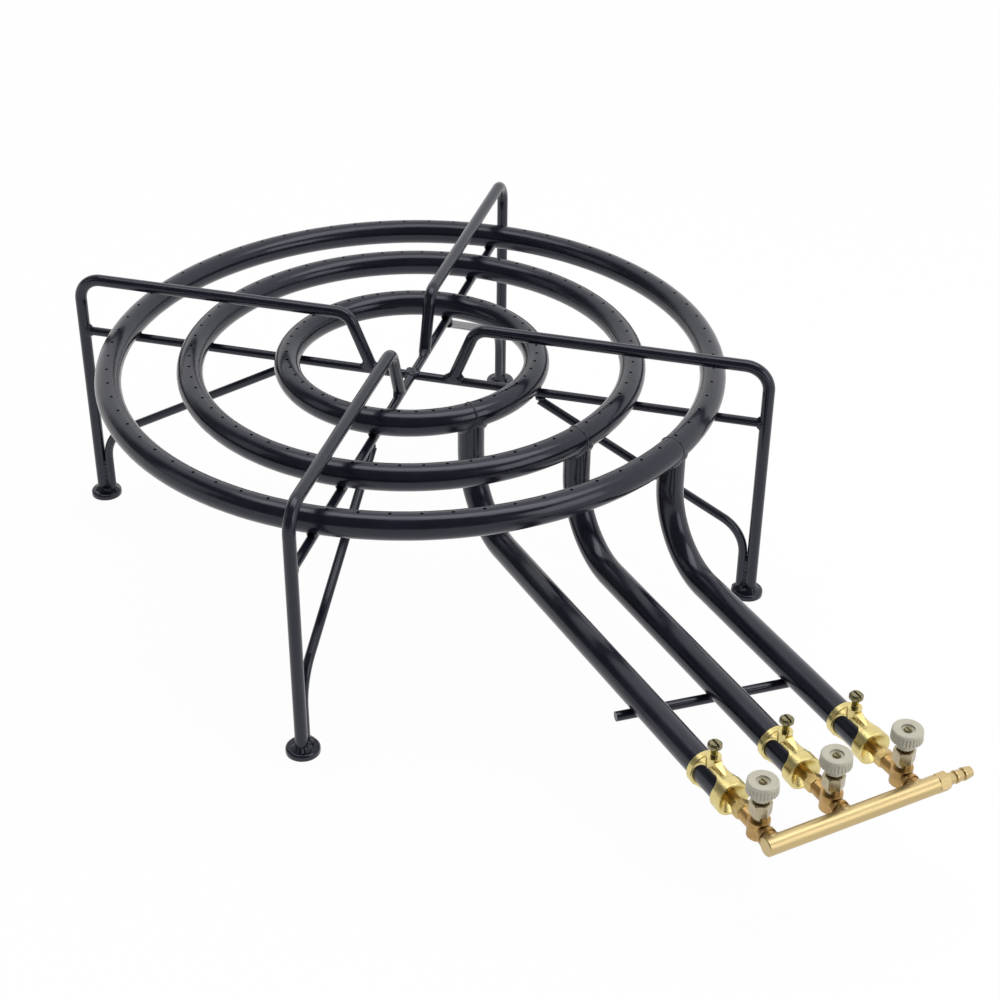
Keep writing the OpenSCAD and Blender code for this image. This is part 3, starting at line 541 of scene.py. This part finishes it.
def painted_shade_group():
    """Painted shade in the hollows of a piece. Where the piece shades itself within the reach, its colour
    goes over to the darker painted shade colour."""
    group, given, result = new_group(
        "Tarnished Hollow",
        [("Color", COLOR_SOCKET, (0.5, 0.5, 0.5, 1)), ("Hollow Color", COLOR_SOCKET, (0.2, 0.2, 0.2, 1)),
         ("Reach", VALUE_SOCKET, 0.006)],
        [("Color", COLOR_SOCKET)])
    # The piece's own occlusion decides where the painted shade falls.
    open_share = add_node(group, "ShaderNodeAmbientOcclusion", {"only_local": True, "samples": 6})
    share = add_node(group, "ShaderNodeMapRange", SMOOTH,
                     {"From Min": 0.92, "From Max": 0.45, "To Max": 0.9})
    mix = add_node(group, "ShaderNodeMix", {"data_type": "RGBA"})
    wire(group,
         (given, "Reach", open_share, "Distance"), (open_share, "AO", share, "Value"),
         (share, "Result", mix, "Factor"), (given, "Color", mix, "A"), (given, "Hollow Color", mix, "B"),
         (mix, "Result", result, "Color"))
    return group


def shade(color, factor):
    """An opaque colour, made darker or lighter."""
    return tuple(min(1.0, c * factor) for c in color[:3]) + (1.0,)


def finish_material(name, finish, tone, worn_surface, tarnished_hollow):
    """A Principled material fed by the shared groups, on the piece's own coordinates."""
    material = bpy.data.materials.new(f"{name}_finish")
    material.use_nodes = True
    tree = material.node_tree
    tree.nodes.clear()
    color, worn = (shade(getattr(tone, label), factor) for label, factor in (finish.color, finish.worn))
    place = add_node(tree, "ShaderNodeTexCoord")
    lay = add_node(tree, "ShaderNodeMapping", {"vector_type": "TEXTURE"},
                   {"Rotation": (0, 0, finish.turn), "Scale": finish.stretch})
    surface = add_node(tree, "ShaderNodeGroup", {"node_tree": worn_surface}, {
        "Color": color, "Worn Color": worn, "Edge Color": shade(color, EDGE_WEAR_AND_HIGHLIGHT_LIFT), "Wear": finish.wear,
        "Patch Scale": finish.patch, "Grain Scale": finish.grain, "Rough Low": finish.rough[0],
        "Rough High": finish.rough[1], "Edge Radius": finish.edge})
    relief = add_node(tree, "ShaderNodeBump", values={"Strength": finish.bump, "Distance": finish.depth})
    shader = add_node(tree, "ShaderNodeBsdfPrincipled", values={"Metallic": finish.metallic})
    output = add_node(tree, "ShaderNodeOutputMaterial")
    if finish.tinted:
        shader.inputs["Specular Tint"].default_value = tuple(tone.gloss)
    tint = surface
    # Painted shade: where the piece shades itself, its colour goes over to a darker one.
    if finish.hollow:
        label, factor = finish.hollow
        tint = add_node(tree, "ShaderNodeGroup", {"node_tree": tarnished_hollow},
                        {"Hollow Color": shade(getattr(tone, label), factor)})
        wire(tree, (surface, "Color", tint, "Color"))
    wire(tree,
         (place, "Object", lay, "Vector"), (lay, "Vector", surface, "Vector"),
         (tint, "Color", shader, "Base Color"), (surface, "Roughness", shader, "Roughness"),
         (surface, "Height", relief, "Height"), (surface, "Normal", relief, "Normal"),
         (relief, "Normal", shader, "Normal"), (shader, "BSDF", output, "Surface"))


class BURNER_OT_finishes(bpy.types.Operator):
    """Make the finishes and give them to the solids, by the record's material slots"""

    bl_idname = "burner.finishes"
    bl_label = "Finishes"

    def execute(self, context):
        worn_surface, tarnished_hollow = surface_group(), painted_shade_group()
        for name, finish in FINISHES.items():
            finish_material(name, finish, context.scene.burner_finishes, worn_surface, tarnished_hollow)
        for part in frame["record"]["subparts"]:
            solid = frame["nodes"][part["node"]]
            if not solid.material_slots:
                raise RuntimeError(f"{part['node']} has no material slot")
            for slot in solid.material_slots:
                slot.material = bpy.data.materials[f"{part['material_slot']}_finish"]
        return {"FINISHED"}


def pipe_top(name):
    """Upright axis of a feed pipe where it meets its ring, with the ring's outward and round directions."""
    start = math.sqrt(RING_R[name] ** 2 - LANE[name] ** 2)
    foot = start * ALONG + LANE[name] * ACROSS
    outward = unit(foot)
    return foot, outward, np.cross(UP, outward)


class BURNER_OT_pipe_welds(bpy.types.Operator):
    """Run a weld round each feed pipe's saddle end, where the pipe's cylinder meets the ring's tube"""

    bl_idname = "burner.pipe_welds"
    bl_label = "Pipe Welds"

    def execute(self, context):
        size = context.scene.burner_welds
        a = loop_angles(200)[:, None]
        for n, name in enumerate(RINGS):
            foot, out, along = pipe_top(name)
            plan = foot + TUBE_R * (np.cos(a) * out + np.sin(a) * along)
            off = np.linalg.norm(plan, axis=1, keepdims=True) - RING_R[name]
            drop = np.sqrt(np.clip(TUBE_R ** 2 - off ** 2, SADDLE_TRIM ** 2, None))
            weld = fillet(plan + UP * (RING_Z - drop), onto_rod(foot, UP, TUBE_R), onto_ring(name),
                          size.pipe_fillet, size, SEEDS["pipe"] + n)
            make_weld(f"weld_pipe_{name}", [weld])
        return {"FINISHED"}


class BURNER_OT_ring_seams(bpy.types.Operator):
    """Run a low bead round each ring's tube over the butt joint, beside the feed pipe"""

    bl_idname = "burner.ring_seams"
    bl_label = "Ring Seams"

    def execute(self, context):
        size = context.scene.burner_welds
        a = loop_angles(120)[:, None]
        for n, name in enumerate(RINGS):
            out = pipe_top(name)[1]
            wall = np.cos(a) * out + np.sin(a) * UP
            path = RING_R[name] * out + RING_Z * UP + (TUBE_R + size.seam_rise - size.seam_bead) * wall
            make_weld(f"weld_seam_{name}", [bead(path, wall, size.seam_bead, size.ripple, SEEDS["seam"] + n)])
        return {"FINISHED"}


def tacks(place, run, bar_axis_point, tube, size, seed):
    """Two short welds in the corners beside a bar, under the tube that lies across it."""
    out, rise = 0.55 * BAR_R, 0.83 * BAR_R
    side = np.cross(UP, run)
    t = np.linspace(-0.5, 0.5, 40)[:, None] * size.tack_length
    return [fillet(place + out * sign * side + rise * UP + t * run, tube,
                   onto_rod(bar_axis_point, run, BAR_R), size.rod_fillet, size, seed + sign, ring=False)
            for sign in (-1, 1)]


class BURNER_OT_ring_tacks(bpy.types.Operator):
    """Lay short welds on both sides of the cross bars under each ring"""

    bl_idname = "burner.ring_tacks"
    bl_label = "Ring Tacks"

    def execute(self, context):
        size = context.scene.burner_welds
        for n, name in enumerate(RINGS):
            skins = []
            for k, degrees in enumerate(SIDES.values()):
                arm = turn_about_axis(np.array([1.0, 0, 0]), degrees)
                skins += tacks(RING_R[name] * arm + BAR_Z * UP, arm, BAR_Z * UP, onto_ring(name), size,
                               SEEDS["ring_tack"] + 8 * n + 2 * k)
            make_weld(f"weld_ring_tacks_{name}", skins)
        return {"FINISHED"}


def four_ways(path_and_rods, degrees):
    """A weld's path, and the surfaces of the rods beside it, turned to one of the four legs."""
    path, *rods = path_and_rods
    turned = [onto_rod(turn_about_axis(base, degrees), turn_about_axis(axis, degrees), radius)
              for base, axis, radius in rods]
    return turn_about_axis(path, degrees), *turned


class BURNER_OT_leg_welds(bpy.types.Operator):
    """Run welds round the inner legs on the cross bars, and round the cross bars' ends on the legs"""

    bl_idname = "burner.leg_welds"
    bl_label = "Leg Welds"

    def execute(self, context):
        size = context.scene.burner_welds
        a = loop_angles(120)[:, None]
        x, y, z = np.eye(3)
        bar = (BAR_Z * z, x, BAR_R)
        inside = 0.9 * BAR_R  # a hoop is thicker than the bar, so its weld stays within the bar's width
        wide = inside * np.sin(a)
        landing = ((INNER_LEG + HOOP_R / math.cos(INNER_LEAN) * np.cos(a)) * x + wide * y
                   + (BAR_Z + np.sqrt(BAR_R ** 2 - wide ** 2)) * z)
        lean = math.sin(INNER_LEAN) * x + math.cos(INNER_LEAN) * z
        inner = (landing, (INNER_LEG * x + (BAR_Z + BAR_R) * z, lean, HOOP_R), bar)
        across = BAR_R * np.cos(a)
        butt = (LEG_X - np.sqrt(HOOP_R ** 2 - across ** 2)) * x + across * y + (BAR_Z + BAR_R * np.sin(a)) * z
        outer = (butt, bar, (LEG_X * x, z, HOOP_R))
        for k, (name, degrees) in enumerate(SIDES.items()):
            at_bar = fillet(*four_ways(inner, degrees), size.leg_fillet, size, SEEDS["inner_leg"] + k, rough=0.5)
            at_leg = fillet(*four_ways(outer, degrees), size.rod_fillet, size, SEEDS["bar_end"] + k)
            make_weld(f"weld_inner_leg_{name}", [at_bar])
            make_weld(f"weld_bar_end_{name}", [at_leg])
        return {"FINISHED"}


class BURNER_OT_foot_welds(bpy.types.Operator):
    """Weld leg and brace to each foot disc and to each other, and dab weld on each brace's blunt end"""

    bl_idname = "burner.foot_welds"
    bl_label = "Foot and Brace Welds"

    def execute(self, context):
        size = context.scene.burner_welds
        a = loop_angles(110)[:, None]
        x, y, z = np.eye(3)
        leg, brace = (LEG_X * x, z, HOOP_R), (BRACE_X * x, z, BAR_R)
        start = -0.001  # the weld between leg and brace starts a little inside the disc
        groove_out, dab_in, dab_out, dab_up = 0.3 * HOOP_R, 1.1 * HOOP_R, 0.7 * HOOP_R, 0.1 * HOOP_R
        end_in, end_down, groove_fillet = 0.3 * BAR_R, 1.35 * BAR_R, 0.9 * size.rod_fillet
        foot_dab, brace_dab = np.diag([0.0034, 0.0026, 0.0024]), np.diag([1.15, 0.85, 0.62]) * BAR_R
        run = np.linspace(start, size.leg_run, 70)[:, None]
        contact = corners("leg_brace_right")[0][0] + 2 * BAR_R * math.sin(BRACE_RISE)
        end = (contact - end_in) * x + (BAR_Z - end_down) * z
        for k, (name, degrees) in enumerate(SIDES.items()):
            skins = []
            for n, rod in enumerate((leg, brace)):
                loop = rod[0] + rod[2] * (np.cos(a) * x + np.sin(a) * y) + FOOT_TOP * z
                path, surface = four_ways((loop, rod), degrees)
                skins.append(fillet(path, surface, onto_level(FOOT_TOP), size.foot_fillet, size,
                                    SEEDS["foot"] + 10 * n + k, rough=0.8))
            for sign in (-1, 1):
                groove = (LEG_X - HOOP_R) * x + sign * groove_out * y + (FOOT_TOP + run) * z
                skins.append(fillet(*four_ways((groove, leg, brace), degrees), groove_fillet, size,
                                    SEEDS["groove"] + 2 * k + sign, ring=False, rough=1.5))
                spot = (LEG_X - dab_in) * x + sign * dab_out * y + (FOOT_TOP + dab_up) * z
                skins.append(dab(turn_about_axis(spot, degrees), foot_dab, SEEDS["foot_dab"] + 2 * k + sign))
            make_weld(f"weld_foot_{name}", skins)
            blunt_end = dab(turn_about_axis(end, degrees), turn_about_axis(brace_dab, degrees),
                            SEEDS["brace_dab"] + k)
            make_weld(f"weld_brace_{name}", [blunt_end])
        return {"FINISHED"}


class BURNER_OT_centre_weld(bpy.types.Operator):
    """Lay the crater weld over the crossing of the bars: a low dome with a dip in the middle.
    Height over share s of its radius is (1 - s^2)^0.6 less a dip of 0.45 exp(-(s / 0.3)^2). Radius and
    height swell by 0.08 sin(3a + 0.7) + 0.06 sin(5a + 2.1) round it"""

    bl_idname = "burner.centre_weld"
    bl_label = "Centre Weld"

    def execute(self, context):
        size = context.scene.burner_welds
        top_rows, under_rows, pole_gap = 26, 14, 0.04
        rise, sink, depth = 0.55 * BAR_R, 0.1 * BAR_R, 0.75 * BAR_R
        a = loop_angles(64)[None, :]
        s = np.concatenate([np.linspace(pole_gap, 1, top_rows), np.linspace(0.98, pole_gap, under_rows)])[:, None]
        top = (np.arange(top_rows + under_rows) < top_rows)[:, None]
        swell = 1 + 0.08 * np.sin(3 * a + 0.7) + 0.06 * np.sin(5 * a + 2.1)
        dome = rise * ((1 - s ** 2).clip(0) ** 0.6 - 0.45 * np.exp(-(s / 0.3) ** 2))
        height = np.where(top, dome * swell - sink, -depth)
        reach = size.crater * s * swell
        points = np.stack([reach * np.cos(a), reach * np.sin(a), BAR_Z + BAR_R + height], -1)
        make_weld("weld_centre", [skin(points)])
        return {"FINISHED"}


class BURNER_OT_tie_welds(bpy.types.Operator):
    """Lay short beads on both sides of the tie bar under each feed pipe"""

    bl_idname = "burner.tie_welds"
    bl_label = "Tie Welds"

    def execute(self, context):
        size = context.scene.burner_welds
        low, high = corners("pipe_tie_bar")
        centre = (low + high) / 2
        run = unit(np.array([high[0] - low[0] - 2 * BAR_R * abs(ALONG[0]), high[1] - low[1], 0.0]))
        pipe_z = float(JOINTS["tap_turn_inner"]["pos_m"][2])
        for n, name in enumerate(RINGS):
            place = centre + (LANE[name] - centre @ ACROSS) / (run @ ACROSS) * run
            pipe = onto_rod(LANE[name] * ACROSS + pipe_z * UP, ALONG, TUBE_R)
            make_weld(f"weld_tie_{name}", tacks(place, run, centre, pipe, size, SEEDS["tie"] + 2 * n))
        return {"FINISHED"}


class BURNER_OT_tap_solder(bpy.types.Operator):
    """Run a solder fillet round each tap's inlet stub, where its cylinder meets the manifold bar"""

    bl_idname = "burner.tap_solder"
    bl_label = "Tap Solder"

    def execute(self, context):
        size = context.scene.burner_brassware
        centre = middle("manifold_bar")
        bar_r = half_size("manifold_bar", 2)
        bar = onto_rod(centre, ACROSS, bar_r)
        a = loop_angles(120)[:, None]
        inset = centre @ ALONG - np.sqrt(bar_r ** 2 - (STUB_R * np.sin(a)) ** 2)
        for n, name in enumerate(RINGS):
            axis = LANE[name] * ACROSS + centre[2] * UP
            path = axis + inset * ALONG + STUB_R * (np.cos(a) * ACROSS + np.sin(a) * UP)
            joint = fillet(path, onto_rod(axis, ALONG, STUB_R), bar, size.solder, context.scene.burner_welds,
                           SEEDS["solder"] + n, rough=0.3)
            make_piece(f"solder_tap_{name}", [joint], "solder", "gas_train")
        return {"FINISHED"}


class BURNER_OT_screw_threads(bpy.types.Operator):
    """Wind a thread on each clamp screw between its boss and its head. A four-sided profile is carried
    along the helix z = pitch * turns, and its crest sinks to the root at both ends"""

    bl_idname = "burner.screw_threads"
    bl_label = "Screw Threads"

    def execute(self, context):
        size = context.scene.burner_brassware
        pitch, points_per_turn, fade_turns = size.thread_pitch, 28, 0.5
        offset = pitch * np.array([[-0.42, -0.08, 0.08, 0.42]])  # foot, crest, crest and foot of the profile
        inside, head_gap = size.thread_root - 0.1 * pitch, 0.6 * pitch
        for name in RINGS:
            axis = joint_foot(f"clamp_turn_{name}")
            low = corners(f"air_mixer_{name}")[1][2] + pitch
            high = corners(f"clamp_screw_{name}")[1][2] - SCREW_HEAD - head_gap
            turns = (high - low) / pitch
            if turns < 1:
                raise RuntimeError("there is no room for a thread between the boss and the head")
            t = np.linspace(0, turns, round(points_per_turn * turns))[:, None]
            fade = np.clip(np.minimum(t, turns - t) / fade_turns, 0, 1)
            crest = size.thread_root + fade * (size.thread_crest - size.thread_root)
            foot = np.full_like(t, inside)
            reach = np.hstack([foot, crest, crest, foot])
            angle = 2 * np.pi * t
            points = axis + np.stack([reach * np.cos(angle), reach * np.sin(angle), low + pitch * t + offset], -1)
            make_piece(f"clamp_thread_{name}", [skin(points)], "thread_brass", f"clamp_{name}")
        return {"FINISHED"}


def rounded(profile, radii, steps=7):
    """A closed profile with its corners rounded: each corner becomes a quadratic arc between points
    that lie its radius away on both sides."""
    before = unit(np.roll(profile, 1, 0) - profile)
    after = unit(np.roll(profile, -1, 0) - profile)
    t = np.linspace(0, 1, steps)[None, :, None]
    start, end = profile + radii[:, None] * before, profile + radii[:, None] * after
    arc = (1 - t) ** 2 * start[:, None] + 2 * t * (1 - t) * profile[:, None] + t ** 2 * end[:, None]
    return arc.reshape(-1, 2)


class BURNER_OT_knobs(bpy.types.Operator):
    """Turn each knob from a rounded profile, with flutes whose depth is a power of a cosine round it"""

    bl_idname = "burner.knobs"
    bl_label = "Knobs"

    def execute(self, context):
        size = context.scene.burner_brassware
        stem, hub, lip, recess, hole = 0.00255, 0.0047, 0.0058, 0.0039, 0.0013  # radii
        skirt_depth, recess_depth, hole_depth, lip_depth, edge_depth = 0.0072, 0.0016, 0.0036, 0.0002, 0.0003
        hub_taper, rim_taper, recess_taper = 0.0002, 0.0004, 0.0001
        flute_reach, flute_fade, flute_power = 0.0012, 0.0006, 3
        profile_points, flute_points = 140, 12
        # Rounding of the profile's corners, in the order of the outline.
        edges = np.array([0.2, 0.4, 0.5, 0.5, 1.2, 0.4, 0.3, 0.2, 0.2, 0.2, 0.2]) * 0.001
        a = loop_angles(flute_points * size.flutes)[None, :]
        for name in RINGS:
            low, high = corners(f"control_knob_{name}")
            axis = joint_foot(f"tap_turn_{name}")
            wide = (high[0] - low[0]) / 2
            bottom, top = low[2], high[2]
            skirt, floor, shoulder = top - skirt_depth, top - recess_depth, top - hole_depth
            outline = np.array([
                (stem, bottom), (hub, bottom), (hub - hub_taper, skirt), (wide, skirt), (wide - rim_taper, top),
                (lip, top - lip_depth), (recess, top - edge_depth), (recess - recess_taper, floor),
                (hole, floor), (hole, shoulder), (stem, shoulder)])
            profile = rounded(outline, edges)
            loop = np.concatenate([profile, profile[:1]])
            gaps = np.linalg.norm(np.diff(loop, axis=0), axis=1)
            where = np.concatenate([[0], np.cumsum(gaps)])
            even = np.linspace(0, gaps.sum(), profile_points, endpoint=False)
            r, z = (np.interp(even, where, loop[:, column])[:, None] for column in (0, 1))
            rise = np.clip((floor - z) / flute_fade, 0, 1) * np.clip((r - wide + flute_reach) / flute_fade, 0, 1)
            groove = size.flute_depth * rise * (0.5 + 0.5 * np.cos(size.flutes * a)) ** flute_power
            points = axis + np.stack([(r - groove) * np.cos(a), (r - groove) * np.sin(a), z + 0 * a], -1)
            knob = make_piece(f"knob_{name}", [skin(points, ring=True)], "knob_plastic",
                              f"tap_{name}")
            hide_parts(f"control_knob_{name}")
        return {"FINISHED"}


def softbox(name, place, aim, wide, high, radiance):
    """A rectangular lamp that faces a point. Its power is radiance * pi * area."""
    lamp = bpy.data.lights.new(name, "AREA")
    lamp.shape = "RECTANGLE"
    lamp.size, lamp.size_y = wide, high
    lamp.energy = radiance * math.pi * wide * high
    holder = bpy.data.objects.new(name, lamp)
    bpy.context.scene.collection.objects.link(holder)
    back = unit(np.array(place, float) - np.array(aim, float))
    nearly_upright = abs(back[2]) > 0.98
    right = unit(np.cross([0.0, 1.0, 0.0] if nearly_upright else UP, back))
    turn = np.stack([right, np.cross(back, right), back], -1)
    holder.matrix_world = Matrix.Translation(place) @ Matrix(turn.tolist()).to_4x4()


class BURNER_OT_stage(bpy.types.Operator):
    """Make the white floor, the soft lamps, the even light and the camera"""

    bl_idname = "burner.stage"
    bl_label = "Studio"

    def execute(self, context):
        scene, studio = context.scene, context.scene.burner_studio
        self.make_floor(scene, studio)
        for name, lamp in SOFTBOXES.items():
            softbox(name, **lamp)
        self.make_sky(scene, studio)
        scene.view_settings.view_transform = "Standard"
        self.make_camera(scene, studio)
        return {"FINISHED"}

    def make_sky(self, scene, studio):
        """Even light round the studio: white behind the burner, as from a paper backdrop, and dim before it.
        All round, a low strip over the floor's edge is white too."""
        world = bpy.data.worlds.new("studio_light")
        world.use_nodes = True
        tree = world.node_tree
        place = add_node(tree, "ShaderNodeTexCoord")
        depth = add_node(tree, "ShaderNodeVectorMath", {"operation": "DOT_PRODUCT"}, {1: BACKDROP_WAY})
        level = add_node(tree, "ShaderNodeMapRange", SMOOTH, {
            "From Min": BACKDROP_FADE[0], "From Max": BACKDROP_FADE[1],
            "To Min": studio.fill, "To Max": studio.backdrop})
        height = add_node(tree, "ShaderNodeSeparateXYZ")
        strip = add_node(tree, "ShaderNodeMapRange", SMOOTH, {
            "From Min": STRIP_FADE[0], "From Max": STRIP_FADE[1], "To Min": 1.0, "To Max": 0.0})
        whiter = add_node(tree, "ShaderNodeMath", {"operation": "MAXIMUM"})
        sky = tree.nodes["Background"]
        sky.inputs["Color"].default_value = (1.0, 1.0, 1.0, 1.0)
        wire(tree,
             (place, "Generated", depth, 0), (depth, "Value", level, "Value"),
             (place, "Generated", height, "Vector"), (height, "Z", strip, "Value"),
             (level, "Result", whiter, 0), (strip, "Result", whiter, 1), (whiter, 0, sky, "Strength"))
        scene.world = world

    def make_floor(self, scene, studio):
        """A flat square of floor, white to the eye and in reflections, with a faint shadow."""
        half = studio.floor_size / 2
        mesh = bpy.data.meshes.new("studio_floor")
        mesh.from_pydata([(-half, -half, 0), (half, -half, 0), (half, half, 0), (-half, half, 0)], [],
                         [(0, 1, 2, 3)])
        floor = bpy.data.objects.new("studio_floor", mesh)
        scene.collection.objects.link(floor)
        material = bpy.data.materials.new("studio_white")
        material.use_nodes = True
        tree = material.node_tree
        tree.nodes.clear()
        ray = add_node(tree, "ShaderNodeLightPath")
        first = add_node(tree, "ShaderNodeMath", {"operation": "MAXIMUM"})
        seen = add_node(tree, "ShaderNodeMath", {"operation": "MAXIMUM"})
        share = add_node(tree, "ShaderNodeMath", {"operation": "MULTIPLY"}, {1: 1 - studio.shadow})
        matt = add_node(tree, "ShaderNodeBsdfDiffuse", values={"Color": tuple(scene.burner_finishes.floor)})
        glow = add_node(tree, "ShaderNodeEmission", values={"Strength": 1.0})
        mix = add_node(tree, "ShaderNodeMixShader")
        output = add_node(tree, "ShaderNodeOutputMaterial")
        wire(tree,
             (ray, "Is Camera Ray", first, 0), (ray, "Is Glossy Ray", first, 1), (first, 0, seen, 0),
             (ray, "Is Transmission Ray", seen, 1), (seen, 0, share, 0), (share, 0, mix, "Fac"),
             (matt, "BSDF", mix, 1), (glow, "Emission", mix, 2), (mix, "Shader", output, "Surface"))
        mesh.materials.append(material)

    def make_camera(self, scene, studio):
        """The camera at the photograph's place: columns right, up and back of its own axes."""
        lens = bpy.data.cameras.new("photo_camera")
        lens.lens, lens.sensor_width, lens.sensor_fit = studio.lens, SENSOR, "AUTO"
        lens.clip_start, lens.clip_end = 0.05, 60.0
        camera = bpy.data.objects.new("photo_camera", lens)
        scene.collection.objects.link(camera)
        forward, down = unit(np.array(VIEW_FORWARD)), np.array(VIEW_DOWN)
        down = unit(down - (down @ forward) * forward)
        turn = np.stack([np.cross(down, forward), -down, -forward], -1)
        camera.matrix_world = Matrix.Translation(studio.camera) @ Matrix(turn.tolist()).to_4x4()
        scene.camera = camera


GROUPS = {
    BurnerWelds: "burner_welds", BurnerBrassware: "burner_brassware",
    BurnerFinishes: "burner_finishes", BurnerStudio: "burner_studio",
}
OPERATORS = (
    BURNER_OT_finishes, BURNER_OT_pipe_welds, BURNER_OT_ring_seams, BURNER_OT_ring_tacks,
    BURNER_OT_leg_welds, BURNER_OT_foot_welds, BURNER_OT_centre_weld, BURNER_OT_tie_welds,
    BURNER_OT_tap_solder, BURNER_OT_screw_threads, BURNER_OT_knobs, BURNER_OT_stage,
)


class BURNER_PT_sidebar(bpy.types.Panel):
    """Lists the burner's pieces and their sizes"""

    bl_idname = "BURNER_PT_sidebar"
    bl_label = "Paella Burner"
    bl_space_type = "VIEW_3D"
    bl_region_type = "UI"
    bl_category = "Burner"

    def draw(self, context):
        for group, label in GROUPS.items():
            box = self.layout.box()
            for field in group.__annotations__:
                box.prop(getattr(context.scene, label), field)
        for operator in OPERATORS:
            self.layout.operator(operator.bl_idname)


def register():
    """Register the groups, operators and panel, and hang the groups on the scene."""
    for cls in (*GROUPS, *OPERATORS, BURNER_PT_sidebar):
        bpy.utils.register_class(cls)
    for group, label in GROUPS.items():
        setattr(bpy.types.Scene, label, bpy.props.PointerProperty(type=group))


def unregister():
    """Take everything off again, in reverse."""
    for label in GROUPS.values():
        delattr(bpy.types.Scene, label)
    for cls in reversed((*GROUPS, *OPERATORS, BURNER_PT_sidebar)):
        bpy.utils.unregister_class(cls)


def main():
    """Build every piece in order."""
    register()
    for operator in OPERATORS:
        family, name = operator.bl_idname.split(".")
        getattr(getattr(bpy.ops, family), name)()


if __name__ == "__main__":
    main()
